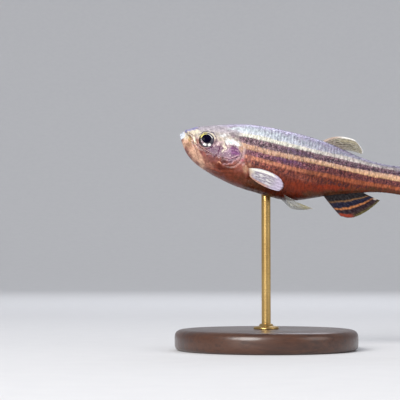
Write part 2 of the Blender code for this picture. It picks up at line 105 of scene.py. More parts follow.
lens = bpy.data.cameras.new("camera")
lens.lens, lens.sensor_width = LENS, SENSOR_WIDTH
lens.clip_start, lens.clip_end = NEAREST, FURTHEST
camera = bpy.data.objects.new("camera", lens)
place_facing(camera, LOOKED_AT - DISTANCE * Vector((0.0, np.cos(LOOKS_UP), np.sin(LOOKS_UP))), LOOKED_AT)
bpy.context.scene.camera = camera
bpy.context.scene.view_settings.view_transform = "Standard"
print("camera", round(DISTANCE / MM), "mm away, lens", lens.lens)

# %% [markdown]
# ## The body's form
#
# A danio's body is a spindle, pressed flat from side to side. It can be drawn by its sections:
# twelve named stations give the back, the belly, the half width, the height at which it is
# widest and how square the section is. Smooth curves run through them. The same numbers shape
# the solids, so the skin made from them lies where the solids do. x runs from the tip of the
# jaw to the tail, -y is the fish's left side and z is up, all in millimetres.

# %% Stations along the body
BODY_LENGTH = 33.6
GAP = 0.3  # the clear space that parts fins and barbels from the body in the solids
Station = namedtuple("Station", "x back belly half_width widest squareness")
STATIONS = {
    "jaw_tip": Station(0.00, 0.00, 0.00, 0.00, 0.00, 2.0),
    "lips": Station(0.45, 0.50, -0.90, 0.76, -0.15, 2.1),
    "snout": Station(1.30, 1.17, -2.22, 1.30, -0.45, 2.2),
    "eye": Station(3.50, 2.07, -3.90, 2.00, -0.75, 2.3),
    "cheek": Station(6.10, 2.87, -4.87, 2.45, -1.10, 2.3),
    "gill_opening": Station(9.60, 3.66, -5.76, 2.86, -1.50, 2.2),
    "breast": Station(13.80, 3.90, -6.15, 3.08, -1.80, 2.1),
    "belly": Station(17.40, 3.80, -6.12, 2.92, -1.55, 2.1),
    "vent": Station(21.60, 3.32, -4.62, 2.15, -0.80, 2.0),
    "fin_end": Station(26.00, 2.24, -3.22, 1.42, -0.35, 2.0),
    "tail_stalk": Station(30.00, 1.86, -2.42, 0.86, -0.25, 2.0),
    "tail_root": Station(BODY_LENGTH, 2.12, -2.42, 0.50, -0.15, 2.0),
}


def smooth_curve(knots, values):
    """A natural cubic curve through the values, which reads whole arrays at once."""
    knots, values = np.array(knots, float), np.array(values, float)
    step = np.diff(knots)
    slope = np.diff(values) / step
    system, wanted = np.eye(len(knots)), np.zeros(len(knots))
    for i in range(1, len(knots) - 1):
        system[i, i - 1 : i + 2] = step[i - 1], 2 * (step[i - 1] + step[i]), step[i]
        wanted[i] = 6 * (slope[i] - slope[i - 1])
    bend = np.linalg.solve(system, wanted)

    def at(x):
        x = np.asarray(x, float)
        i = np.clip(np.searchsorted(knots, x) - 1, 0, len(step) - 1)
        h, a, b = step[i], knots[i + 1] - x, x - knots[i]
        curved = bend[i] * (a**3 / h - h * a) + bend[i + 1] * (b**3 / h - h * b)
        return curved / 6 + (values[i] * a + values[i + 1] * b) / h

    return at


table = np.array(list(STATIONS.values()))
station_roots = np.sqrt(table[:, 0] / BODY_LENGTH)
OUTLINE = [smooth_curve(station_roots, table[:, i]) for i in range(1, len(Station._fields))]
print(len(STATIONS), "stations over", BODY_LENGTH, "mm")


# %% Points of the body
def girth(x):
    """Back, belly, half width, widest height and squareness of the section at x."""
    root = np.sqrt(np.clip(x, 0, None) / BODY_LENGTH)
    return [curve(root) for curve in OUTLINE]


def form(x, turn, grow=0.0):
    """A point of the body. turn is 0 on the back, pi/2 on the left side and pi on the belly."""
    x, turn = np.broadcast_arrays(np.asarray(x, float), np.asarray(turn, float))
    back, belly, half_width, widest, squareness = girth(x)
    side, up = np.sin(turn), np.cos(turn)
    reach = np.where(up > 0, back - widest, widest - belly) + grow
    y = -(half_width + grow) * np.sign(side) * np.abs(side) ** (2 / squareness)
    z = widest + reach * np.sign(up) * np.abs(up) ** (2 / squareness)
    return np.stack([x, y, z], -1)


def flank(x, z):
    """How far the flank stands out from the middle at x and height z."""
    back, belly, half_width, widest, squareness = girth(x)
    reach = np.where(z > widest, back - widest, widest - belly)
    share = np.clip(np.abs(z - widest) / np.maximum(reach, 1e-6), 0, 1)
    return half_width * (1 - share**squareness) ** (1 / squareness)


def unit(v):
    """Arrows of length one."""
    return v / np.maximum(np.linalg.norm(v, axis=-1, keepdims=True), 1e-9)


def on_flank(x, z, lift=0.0, side=-1):
    """A point on one flank, lifted along the skin's outward direction. side is -1 for left."""
    x, z = np.broadcast_arrays(np.asarray(x, float), np.asarray(z, float))
    small = 0.05
    by_x = (flank(x + small, z) - flank(x - small, z)) / (2 * small)
    by_z = (flank(x, z + small) - flank(x, z - small)) / (2 * small)
    outward = unit(np.stack([-by_x, np.full_like(x, side), -by_z], -1))
    return np.stack([x, side * flank(x, z), z], -1) + outward * np.asarray(lift)[..., None]


BREAST_X = STATIONS["breast"].x
print("deepest section", round(float(np.ptp(form(BREAST_X, np.array([0, np.pi]))[:, 2])), 2), "mm")

# %% [markdown]
# ## The pose
#
# The fish swims head up, rolled a little so that its belly shows, and its tail has begun to swing
# to its left. An armature could bend it, but every piece here is made of plain points, so one
# function that moves a straight fish's points into the pose is simpler, and it keeps the skin,
# the scales and the fins together exactly.

# %% From the straight fish to the pose
TAIL_TURN, PITCH, BANK = np.radians(11.0), np.radians(12.0), np.radians(17.0)
SWING_FROM, SWING_OVER = 15, 27  # where the tail begins to turn, and over what length it does
ROD_UNDER, BELLY_HEIGHT = 13.8, 22.0


def smooth(t):
    """A soft step from 0 to 1."""
    t = np.clip(t, 0, 1)
    return t * t * (3 - 2 * t)


def after(value, start, over):
    """0 up to start, and 1 once the value is that much further."""
    return smooth((value - start) / over)


def before(value, end, over):
    """1 until the value comes that close to the end, and 0 from the end on."""
    return smooth((end - value) / over)


ALONG = np.linspace(-3, 55, 5801)
HEADING = TAIL_TURN * after(ALONG, SWING_FROM, SWING_OVER)


def added_up(rate):
    """The running total of a rate along the fish."""
    return np.concatenate([[0], np.cumsum((rate[1:] + rate[:-1]) / 2 * np.diff(ALONG))])


MIDDLE_X = ALONG[0] + added_up(np.cos(HEADING))
MIDDLE_Y = -added_up(np.sin(HEADING))


def bent(p):
    """Turns the straight fish's points with the swing of its tail."""
    turned = np.interp(p[..., 0], ALONG, HEADING)
    x = np.interp(p[..., 0], ALONG, MIDDLE_X) + np.sin(turned) * p[..., 1]
    y = np.interp(p[..., 0], ALONG, MIDDLE_Y) + np.cos(turned) * p[..., 1]
    return np.stack([x, y, p[..., 2]], -1)


pitch = np.array([[np.cos(PITCH), 0, np.sin(PITCH)], [0, 1, 0], [-np.sin(PITCH), 0, np.cos(PITCH)]])
roll = np.array([[1, 0, 0], [0, np.cos(BANK), np.sin(BANK)], [0, -np.sin(BANK), np.cos(BANK)]])
TILT = pitch @ roll
held = TILT @ bent(form(ROD_UNDER, np.pi))
SHIFT = np.array([-held[0], 0, BELLY_HEIGHT - held[2]])


def posed(p):
    """Millimetres of the straight fish to metres of the posed one."""
    return (bent(p) @ TILT.T + SHIFT) * MM


print("jaw tip at", np.round(posed(form(0, 0)) / MM, 2), "mm")

# %% [markdown]
# ## Pieces and node trees
#
# A few small helpers serve the whole lesson. One turns arrays of points and faces into an object
# that rides on the frame. The others add shader nodes and link them in a single call, because a
# finish with thirty nodes is far easier to read as a list than as a drawing.

# %% Helpers for meshes
SIDES = {-1: "left", 1: "right"}
MARK_KINDS = {1: ("FLOAT", "value"), 3: ("FLOAT_VECTOR", "vector"), 4: ("FLOAT_COLOR", "color")}


def grid_faces(rows, columns, wrap=False, start=0):
    """The four-sided faces of a grid of points, numbered row by row."""
    i = np.arange(rows - 1)[:, None] * columns
    j = np.arange(columns if wrap else columns - 1)[None]
    k = (j + 1) % columns
    corners = np.broadcast_arrays(i + j, i + k, i + columns + k, i + columns + j)
    return np.stack(corners, -1).reshape(-1, 4) + start


def fan(centre, first, count, flip=False):
    """Triangles from one point to each side of a ring of points."""
    ring = [(first + j, first + (j + 1) % count) for j in range(count)]
    return [(centre, b, a) if flip else (centre, a, b) for a, b in ring]


def border(grid):
    """The numbers round the edge of a grid of numbers, in order."""
    return np.concatenate([grid[0], grid[1:, -1], grid[-1, -2::-1], grid[-2:0:-1, 0]])


def piece(name, points, faces, finish, marks=None, unwrap=None, replaces=()):
    """A smooth mesh, in metres, with named values on its points, riding on the frame."""
    mesh = bpy.data.meshes.new(name)
    mesh.from_pydata(np.asarray(points).reshape(-1, 3).tolist(), [], [list(f) for f in faces])
    for mark, values in (marks or {}).items():
        values = np.asarray(values, np.float32)
        kind, field = MARK_KINDS[values.size // len(values)]
        mesh.attributes.new(mark, kind, "POINT").data.foreach_set(field, values.ravel())
    if unwrap is not None:
        layer = mesh.uv_layers.new(name="OFBake")
        corner = np.empty(len(mesh.loops), np.int64)
        mesh.loops.foreach_get("vertex_index", corner)
        layer.data.foreach_set("uv", np.asarray(unwrap, np.float32)[corner].ravel())
    mesh.materials.append(finish)
    mesh.shade_smooth()
    obj = bpy.data.objects.new(name, mesh)
    bpy.context.scene.collection.objects.link(obj)
    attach(obj, "root")
    if replaces:
        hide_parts(*replaces)
    print(f"{name}: {sum(len(p.vertices) - 2 for p in mesh.polygons)} triangles")
    return obj


print("mesh helpers ready")


# %% Helpers for finishes
class Finish:
    """A material whose nodes are added one by one."""

    def __init__(self, name):
        self.material = bpy.data.materials.new(name)
        self.material.use_nodes = True
        self.tree = self.material.node_tree
        self.shader = self.tree.nodes["Principled BSDF"]

    def add(self, kind, inputs=None, **settings):
        """A new node, with its sockets linked or set, by name or by number."""
        node = self.tree.nodes.new("ShaderNode" + kind)
        for key, value in settings.items():
            setattr(node, key, value)
        self.set(node, inputs or {})
        return node

    def set(self, node, inputs):
        for key, value in inputs.items():
            socket = node.inputs[key]
            if isinstance(value, bpy.types.NodeSocket):
                self.tree.links.new(value, socket)
            else:
                socket.default_value = value

    def surface(self, inputs):
        """What the finish's own shader shows."""
        self.set(self.shader, inputs)

    def mark(self, name, read="Fac"):
        """A value from the mesh's points: a number, or its Vector, Color or Alpha."""
        return self.add("Attribute", attribute_name=name).outputs[read]

    def math(self, operation, a, b=0.0, clamp=False):
        return self.add("Math", {0: a, 1: b}, operation=operation, use_clamp=clamp).outputs[0]

    def times(self, a, b, clamp=False):
        return self.math("MULTIPLY", a, b, clamp)

    def plus(self, a, b):
        return self.math("ADD", a, b)

    def span(self, value, low, high, to_low=0.0, to_high=1.0):
        """A soft step of a value, from to_low at low to to_high at high."""
        inputs = {"Value": value, "From Min": low, "From Max": high, "To Min": to_low, "To Max": to_high}
        return self.add("MapRange", inputs, interpolation_type="SMOOTHSTEP").outputs[0]

    def mix(self, share, a, b, blend="MIX"):
        node = self.add("Mix", data_type="RGBA", blend_type=blend)
        self.set(node, {0: share, 6: a, 7: b})
        return node.outputs[2]

    def ramp(self, value, stops, spread=1.0):
        """Colours between stops, each of which is a place and a colour."""
        node = self.add("ValToRGB", {0: value})
        band = node.color_ramp
        while len(band.elements) < len(stops):
            band.elements.new(0.5)
        for element, (place, _) in zip(band.elements, stops):
            element.position = place / spread
        for element, (_, colour) in zip(band.elements, stops):
            element.color = colour
        return node.outputs[0]

    def noise(self, place, scale, detail=2.0, roughness=0.5, distortion=0.0):
        inputs = {"Vector": place, "Scale": scale, "Detail": detail}
        inputs |= {"Roughness": roughness, "Distortion": distortion}
        return self.add("TexNoise", inputs).outputs[0]

    def drawn(self, place, scale, rotation=(0.0, 0.0, 0.0)):
        """The same places, stretched by an unequal scale, which draws a noise out into streaks."""
        return self.add("Mapping", {"Vector": place, "Scale": scale, "Rotation": rotation}).outputs[0]

    def dent(self, height, strength, depth):
        """Fine relief that only the light sees. depth is in metres."""
        bump_node = self.add("Bump", {"Height": height, "Strength": strength, "Distance": depth})
        self.surface({"Normal": bump_node.outputs[0]})


def tone(red, green, blue, alpha=1.0):
    """A colour as a painter's chart gives it, 0 to 255, turned into the light that it reflects."""
    share = np.array([red, green, blue]) / 255
    light = np.where(share <= 0.04045, share / 12.92, ((share + 0.055) / 1.055) ** 2.4)
    return (*(float(v) for v in light), alpha)


print("finish helpers ready")

# %% [markdown]
# ## The head's relief
#
# The head carries no scales. What shows on it is bone under thin skin: the lips and the line of
# the mouth, the bar of the upper jaw, the rim of the eye's socket, the plates below the eye, the
# bent edge ahead of the gill cover, nostrils and a row of pores. These could be sculpted by hand.
# Here each is a ridge or a groove beside a drawn line, added to the height of the skin, which
# gives the same head each time and lets one number be changed on its own.

# %% Lines of the head, in the side view
MOUTH_LINE = ((0.15, 1.06), (0.62, 0.52), (1.25, -0.20), (1.80, -0.80))
JAW_BAR = ((1.98, 0.22), (2.12, -0.45), (2.38, -1.45))
JAW_EDGE = ((1.95, -1.10), (2.55, -2.10), (3.60, -3.35), (5.20, -4.15), (6.90, -4.60))
CHEEK_EDGE = ((5.72, -0.10), (6.02, -1.20), (5.98, -2.40), (5.45, -3.35), (4.55, -3.85))
BROW = ((2.35, 0.95), (3.20, 1.32), (4.30, 1.42), (5.40, 1.18), (6.60, 1.05))
GILL_FOLDS = (
    ((4.90, -4.20), (6.40, -4.45), (8.10, -4.40), (9.30, -4.05)),
    ((5.00, -4.50), (6.60, -4.85), (8.40, -4.85), (9.70, -4.55)),
)
COVER_SEAM = ((6.5, -3.0), (7.6, -3.15), (8.6, -2.75), (9.3, -2.0))
SHOULDER_FOLD = ((10.22, -3.72), (10.65, -4.68))
NOSTRILS = ((2.02, 1.27), (2.42, 1.42))
EYE_X, EYE_Z, EYE_RADIUS, EYE_DEPTH, EYE_SUNK = 3.92, -0.74, 1.18, 0.78, 0.36
SUTURE_ANGLES = np.radians((-152, -118, -82, -48, -18))
COVER_X, COVER_Z, COVER_SQUARENESS = 7.65, -1.80, 2.5
COVER_FRONT, COVER_REAR, COVER_TOP, COVER_BOTTOM = 1.55, 1.55, 1.95, 2.05
COVER_RIM = 1.05  # the slit runs just outside the gill cover's edge


def from_line(x, z, line):
    """Distance to a drawn line, with the share of the way along it and the side that it is on."""
    line = np.array(line, float)
    lengths = np.linalg.norm(np.diff(line, axis=0), axis=1)
    before = np.concatenate([[0], np.cumsum(lengths)])
    best = np.full(np.shape(x), 1e9)
    share, sign = np.zeros(np.shape(x)), np.ones(np.shape(x))
    for (x0, z0), (x1, z1), length, start in zip(line[:-1], line[1:], lengths, before):
        ax, az = (x1 - x0) / length, (z1 - z0) / length
        k = np.clip((x - x0) * ax + (z - z0) * az, 0, length)
        away = np.hypot(x - x0 - k * ax, z - z0 - k * az)
        nearer = away < best
        best = np.where(nearer, away, best)
        share = np.where(nearer, (start + k) / before[-1], share)
        sign = np.where(nearer, np.sign((z - z0) * ax - (x - x0) * az), sign)
    return best, share, sign


def bump(distance, width):
    return np.exp(-((distance / width) ** 2))


def cover_share(x, z):
    """0 in the middle of the gill cover, 1 on its edge and more beyond it."""
    across = (x - COVER_X) / np.where(x > COVER_X, COVER_REAR, COVER_FRONT)
    over = (z - COVER_Z) / np.where(z > COVER_Z, COVER_TOP, COVER_BOTTOM)
    squared = np.abs(across) ** COVER_SQUARENESS + np.abs(over) ** COVER_SQUARENESS
    return squared ** (1 / COVER_SQUARENESS)


def from_rim(x, z):
    """Millimetres, more or less, from the middle of the gill slit."""
    return (cover_share(x, z) - COVER_RIM) * 1.7


def set_free(x, z):
    """0 where the gill cover grows from the cheek and 1 where it stands clear of the shoulder."""
    return after(x, 6.8, 0.9) * before(z, -0.5, 0.9)


def gill_slit(x, z):
    """Where the slit behind and under the gill cover is open."""
    behind = smooth(((x - COVER_X) * 0.9 - (z - COVER_Z) * 0.55 + 0.4) / 1.0)
    return behind * before(z, -1.0, 0.9)


print("mouth line of", len(MOUTH_LINE), "points, gill cover", COVER_FRONT + COVER_REAR, "mm long")


# %% Relief of mouth, jaw and eye
def mouth_relief(x, z):
    """A full lip above the line of the mouth, and the line itself, both shallower to the rear."""
    away, share, _ = from_line(x, z, MOUTH_LINE)
    fading = 1 - after(share, 0.72, 0.28)
    lip = 0.12 * bump(away - 0.23, 0.16) * (0.25 + 0.75 * fading)
    cut = bump(away, 0.06) * (0.05 + 0.13 * fading) * (1 - after(share, 0.97, 0.03))
    return lip - cut


def jaw_relief(x, z):
    """The bar of the upper jaw with a hollow behind it, and the fold that edges the lower jaw."""
    bar = 0.05 * bump(from_line(x, z, JAW_BAR)[0], 0.20)
    behind_bar = [(bar_x + 0.36, bar_z) for bar_x, bar_z in JAW_BAR]
    hollow = 0.02 * bump(from_line(x, z, behind_bar)[0], 0.12)
    away, share, above = from_line(x, z, JAW_EDGE)
    fold = 0.05 * bump(away, 0.09) * smooth(share * 8)
    swelling = 0.02 * bump(away - 0.2, 0.15) * (above < 0)
    return bar - hollow - fold + swelling


def eye_relief(x, z):
    """The hollow that holds the eye, its raised rim, and the small plates below it."""
    away = np.hypot(x - EYE_X, z - EYE_Z)
    angle = np.arctan2(z - EYE_Z, x - EYE_X)
    hollow = 0.5 * (1 - after(away, 0.85, 0.25))
    rim = 0.04 * bump(away - 1.20, 0.13) - 0.02 * bump(away - 1.42, 0.10)
    plates_end = 0.012 * bump(away - 2.0, 0.12) * before(z, EYE_Z + 0.3, 0.6)
    on_plates = after(away, 1.3, 0.15) * (1 - after(away, 2.0, 0.1))
    sutures = sum(bump((angle - suture) * away, 0.05) for suture in SUTURE_ANGLES)
    return rim - hollow - plates_end - 0.008 * sutures * on_plates


print("eye hollow", round(-float(eye_relief(EYE_X, EYE_Z)), 2), "mm deep")


# %% Relief of cheek, crown and gill cover
def cheek_relief(x, z):
    """The bent edge ahead of the gill cover."""
    away, _, above = from_line(x, z, CHEEK_EDGE)
    return 0.022 * bump(away - 0.16, 0.26) * (above < 0) - 0.012 * bump(away + 0.02, 0.14)


def brow_relief(x, z):
    """The groove over the eye, with a row of pores in it."""
    pore_count = 9
    away, share, _ = from_line(x, z, BROW)
    from_pore = 0.5 - np.abs(np.mod(share * pore_count, 1) - 0.5)
    return -0.016 * bump(away, 0.10) - 0.05 * bump(away, 0.05) * bump(from_pore, 0.09)


def gill_relief(x, z):
    """The bed under the gill cover, the slit round it and the folds of the throat."""
    bed = 0.13 * (1 - after(cover_share(x, z), 0.90, 0.12)) * smooth(set_free(x, z) * 4 - 0.4)
    lift = -bed - 0.075 * bump(from_rim(x, z), 0.13) * gill_slit(x, z)
    for fold in GILL_FOLDS:
        away, share, above = from_line(x, z, fold)
        edge = 0.03 * bump(away - 0.08, 0.08) * np.sign(above)
        lift = lift + (edge - 0.045 * bump(away, 0.05)) * smooth(share * 6)
    return lift


def nose_relief(x, z, breadth):
    """Two nostrils on each side of the snout, each with a raised lip."""
    lift = 0.0
    for nose_x, nose_z in NOSTRILS:
        away = np.hypot(x - nose_x, z - nose_z)
        lift = lift + (0.05 * bump(away - 0.2, 0.06) - 0.16 * bump(away, 0.115)) * (breadth > 0.35)
    return lift


def midline_relief(x, z, breadth):
    """The groove between the halves of the lower jaw."""
    return -0.05 * bump(breadth, 0.10) * after(x, 0.9, 0.6) * before(x, 6.0, 1.5) * (z < -1)


def root_relief(x, z, breadth):
    """Small swellings where the fins grow out of the trunk, and the vent."""
    pectoral = 0.26 * bump(from_line(x, z, SHOULDER_FOLD)[0], 0.42)
    pelvic = 0.12 * bump(np.hypot((x - 16.35) / 1.4, z + 5.95), 0.30)
    vent = 0.14 * bump(np.hypot(x - 21.25, z + 4.75), 0.28) - 0.1 * bump(np.hypot(x - 21.3, z + 4.9), 0.1)
    dorsal = 0.16 * bump(breadth, 0.34) * after(x, 19.9, 0.7) * before(x, 25.0, 1.0) * (z > 0)
    anal = 0.16 * bump(breadth, 0.30) * after(x, 21.6, 0.5) * before(x, 28.4, 1.2) * (z < -1)
    return pectoral + pelvic + vent + dorsal + anal


def relief(x, z, breadth):
    """Millimetres of lift at x and height z; breadth is how far the point is from the middle."""
    head = mouth_relief(x, z) + jaw_relief(x, z) + eye_relief(x, z) + cheek_relief(x, z)
    head = head + brow_relief(x, z) + gill_relief(x, z) + nose_relief(x, z, breadth)
    head = head + midline_relief(x, z, breadth)
    return head * before(x, 11.5, 1.5) + root_relief(x, z, breadth)


print("lip stands", round(float(relief(np.array(0.5), np.array(0.9), np.array(0.0))), 2), "mm proud")

# %% [markdown]
# ## Where the stripes run
#
# The stripes that name this fish are lines of dark cells between bands of gold. Along the flank
# they keep nearly the same place round the body, so each edge is a curve of the share of the way
# from back to belly, read along the fish. A point's mark is then one number: from -1 on the
# back's ridge to 0 at the first edge, 1 at the next, and so on to 7 under the belly. A picture
# could be wrapped round the body instead, but a number lets skin and scales share one pattern.

# %% Stripe edges, from the back to the belly
EDGE_PLACES = {
    "shoulder": 7.5, "breast": 13.8, "vent": 21.6, "fin_end": 26.0, "stalk": 30.0, "root": BODY_LENGTH,
}
EDGE_SHARES = {
    "back to cream": (0.33, 0.33, 0.33, 0.26, 0.23, 0.21),
    "cream to first dark": (0.37, 0.37, 0.38, 0.35, 0.31, 0.30),
    "first dark to gold": (0.44, 0.44, 0.46, 0.47, 0.44, 0.44),
    "gold to second dark": (0.49, 0.48, 0.51, 0.55, 0.56, 0.56),
    "second dark to rose": (0.53, 0.53, 0.60, 0.66, 0.69, 0.69),
    "rose to third dark": (0.57, 0.57, 0.65, 0.74, 0.79, 0.79),
    "third dark to belly": (0.62, 0.63, 0.74, 0.84, 0.93, 0.93),
}
EDGES = [smooth_curve(list(EDGE_PLACES.values()), shares) for shares in EDGE_SHARES.values()]


def stripe_mark(x, share):
    """The stripe number at x and at a share of the way from the back (0) to the belly (1)."""
    x = np.clip(x, EDGE_PLACES["shoulder"], EDGE_PLACES["root"])
    edges = np.stack([np.zeros_like(x), *[edge(x) for edge in EDGES], np.ones_like(x)])
    mark = np.full(np.shape(x), -1.0)
    for low, high in zip(edges[:-1], edges[1:]):
        mark = mark + np.clip((share - low) / (high - low), 0, 1)
    return mark


print("marks at mid body:", np.round(stripe_mark(np.full(5, 16.5), np.linspace(0.1, 0.9, 5)), 2))

# %% [markdown]
# ## Colours of the head
#
# The head has no stripes. It is a patchwork: a pearly lower lip, a pale bar behind the mouth,
# a violet cheek, a gill cover that shines from blue-white to rose, and a throat of rusty red.
# A painter of models would lay these on with an airbrush, one soft spot over another, and that
# is what this does. A palette of some forty paints is mixed first, and the stripes use it too.
# Every spot and stroke then has a place, a size and a paint, and the list is read from the first
# coat to the last. A few softer ones tint the flank and the keel in the same way. Some coats are
# painted light and shade: highlights on the cheek and the gill cover, shade in the hollows, the
# folds, the slit, the nape and along the keel, and shade and a warm reflection on the belly.

# %% The palette
PAINTS = {
    "ink": (40, 24, 40), "oxblood": (62, 14, 4), "ember": (122, 40, 10), "rust": (98, 42, 22),
    "bark": (72, 46, 26), "brick": (140, 75, 48), "cocoa": (75, 36, 36), "umber": (106, 60, 56),
    "chestnut": (132, 74, 62), "clay": (145, 98, 82), "terracotta": (184, 122, 96), "sand": (170, 130, 104),
    "gold": (200, 158, 118), "brass": (176, 146, 92), "peach": (208, 168, 142), "oat": (184, 172, 158),
    "bone": (205, 196, 188), "cream": (218, 208, 184), "ivory": (240, 236, 218), "pearl": (222, 228, 240),
    "silver": (240, 242, 240), "ice": (212, 222, 226), "mint": (175, 228, 212),
    "periwinkle": (138, 138, 186),
    "haze": (176, 172, 188), "lilac": (160, 150, 176), "dove": (168, 160, 166), "steel": (130, 122, 150),
    "dusk": (86, 80, 102), "indigo": (84, 64, 112), "slate": (104, 92, 100), "smoke": (98, 72, 86),
    "veil": (142, 114, 120), "mauve": (130, 84, 94), "violet": (114, 68, 110), "plum": (84, 44, 72),
    "lemon": (226, 214, 120), "rose": (206, 166, 170), "blush": (230, 198, 202), "cherry": (162, 60, 80),
    "apricot": (238, 176, 142),
}
print(len(PAINTS), "paints")

# %% Airbrush spots for the head and the flank
Spot = namedtuple("Spot", "name paint x z wide high tilt soft strength")
HEAD_COATS = (
    Spot("throat", "rust", 7.8, -4.65, 4.4, 1.2, 12, 0.7, 0.95),
    Spot("breast", "rust", 9.5, -5.3, 3.0, 0.7, 0, 0.8, 0.8),
    Spot("chin", "peach", 3.0, -2.95, 2.9, 0.8, 42, 0.7, 0.75),
    Spot("jaw_rear", "clay", 4.9, -3.85, 1.5, 0.5, 30, 0.7, 0.9),
    Spot("jaw_front", "peach", 0.95, -1.25, 0.8, 0.9, 0, 0.7, 0.85),
    Spot("jaw_tan", "sand", 1.6, -1.35, 0.60, 0.75, 0, 0.6, 0.9),
    Spot("jaw_gold", "brass", 1.5, -0.95, 0.45, 0.55, 0, 0.8, 0.8),
    Spot("snout_cream", "cream", 1.8, 0.22, 1.2, 0.52, -12, 0.7, 0.85),
    Spot("lower_lip", "pearl", 0.3, -0.15, 0.62, 0.75, 30, 0.5, 1.0),
    Spot("jaw_white", "cream", 0.95, -0.6, 0.50, 0.62, 0, 0.7, 0.9),
    Spot("upper_lip", "periwinkle", 0.88, 0.76, 0.62, 0.42, 35, 0.5, 0.95),
    Spot("nose_blue", "periwinkle", 1.8, 1.12, 0.85, 0.50, -25, 0.6, 0.9),
    Spot("crown", "dove", 4.2, 1.75, 2.8, 0.75, -18, 0.7, 0.85),
    Spot("crown_middle", "dove", 6.0, 1.6, 2.2, 0.60, -10, 0.8, 0.8),
    Spot("nape", "lilac", 8.6, 3.0, 1.4, 0.50, -10, 0.8, 0.8),
    Spot("nape_light", "ice", 7.7, 1.85, 1.6, 0.48, -8, 0.9, 0.8),
    Spot("cheek_ground", "smoke", 5.6, -2.2, 2.6, 1.4, -8, 0.8, 0.8),
    Spot("cheek_brown", "umber", 3.9, -2.3, 1.2, 0.60, 25, 0.6, 0.9),
    Spot("cheek_violet", "plum", 5.3, -2.05, 1.9, 1.05, 0, 0.6, 0.9),
    Spot("cheek_low", "umber", 5.1, -3.2, 1.3, 0.60, 0, 0.8, 0.85),
    Spot("eye_front", "clay", 2.75, -1.1, 0.38, 0.75, 0, 0.7, 0.8),
    Spot("eye_rear", "smoke", 5.15, -0.55, 0.35, 0.70, 0, 0.7, 0.8),
    Spot("temple", "dove", 5.4, 1.15, 1.60, 0.50, 0, 0.8, 0.75),
    # painted highlight: a silver spot behind the eye
    Spot("behind_eye", "silver", 6.1, 0.34, 0.72, 0.48, 0, 0.8, 1.0),
    Spot("nape_shadow", "slate", 7.5, 0.62, 1.2, 0.4, 0, 0.8, 0.8),
    Spot("cover_ground", "smoke", 7.7, -2.0, 1.8, 1.7, 0, 0.7, 0.85),
    Spot("cover_violet", "violet", 8.0, -1.85, 1.6, 0.90, 0, 0.8, 1.0),
    Spot("cover_mauve", "plum", 7.6, -2.7, 1.7, 0.65, 0, 0.7, 0.85),
    Spot("cover_grey", "smoke", 8.05, -3.2, 1.2, 0.38, -20, 0.8, 0.8),
    # painted shade in the hollow below the cheek and the gill cover
    Spot("dark_hollow", "cocoa", 6.8, -3.40, 0.85, 0.52, 0, 0.8, 0.95),
    Spot("brown_hollow", "umber", 5.9, -3.5, 0.5, 0.42, 0, 0.9, 0.8),
    Spot("orange_fleck", "apricot", 6.35, -3.76, 0.30, 0.12, 0, 0.9, 0.8),
    Spot("white_fleck", "blush", 5.95, -3.0, 0.28, 0.18, 0, 0.9, 0.8),
    Spot("throat_red", "oxblood", 7.0, -4.15, 1.5, 0.45, 0, 0.8, 0.85),
    Spot("shoulder_tan", "sand", 9.15, -1.2, 0.55, 0.95, 0, 0.8, 0.85),
    Spot("shoulder_pink", "rose", 9.3, -2.0, 0.3, 0.65, 0, 0.9, 0.45),
    Spot("shoulder_red", "cherry", 9.35, -2.96, 0.26, 0.2, 0, 0.8, 0.6),
    Spot("hem_glow", "blush", 9.05, -2.35, 0.28, 0.24, 0, 0.9, 0.45),
    Spot("shoulder_rust", "umber", 10.3, -2.2, 0.85, 0.65, 0, 0.8, 0.85),
    Spot("shoulder_sand", "sand", 10.3, -0.85, 0.90, 0.40, 0, 0.9, 0.7),
    # painted shadow, carrying the nape's shadow further back
    Spot("nape_brown", "slate", 8.6, 0.42, 0.60, 0.28, 0, 0.9, 0.8),
    Spot("fin_root", "sand", 10.2, -3.9, 0.65, 1.1, 0, 0.8, 0.8),
)
FLANK_COATS = (
    Spot("stalk_back", "dusk", 30.5, 1.6, 6.0, 0.90, 0, 0.6, 0.6),
    # the ember spots are partly a painted warm reflection over the belly's own colour, and the dark bark
    # spot is painted shade under the breast
    Spot("belly_glow", "ember", 18.0, -4.9, 3.2, 1.00, 0, 0.9, 0.4),
    Spot("belly_olive", "bark", 11.8, -5.45, 3.6, 0.80, 6, 0.9, 0.65),
    Spot("freckled_ground", "chestnut", 17.8, -3.5, 2.6, 0.70, 0, 0.9, 0.4),
    Spot("red_flush", "ember", 23.0, -3.4, 3.2, 0.40, -10, 0.9, 0.5),
    Spot("violet_upper", "indigo", 16.5, 0.0, 4.0, 0.42, 2, 0.9, 0.45),
    Spot("violet_lower", "indigo", 15.8, -1.75, 3.4, 0.45, 2, 0.9, 0.5),
)
print(len(HEAD_COATS + FLANK_COATS), "spots of the airbrush")

# %% Airbrush strokes for the head and the keel
Stroke = namedtuple("Stroke", "name paint line width soft strength")


def eye_arc(radius, start, stop):
    """Points of a drawn line round the eye, from one angle to another, in degrees."""
    angles = np.radians(np.linspace(start, stop, 9))
    return [(EYE_X + radius * np.cos(a), EYE_Z + radius * np.sin(a)) for a in angles]
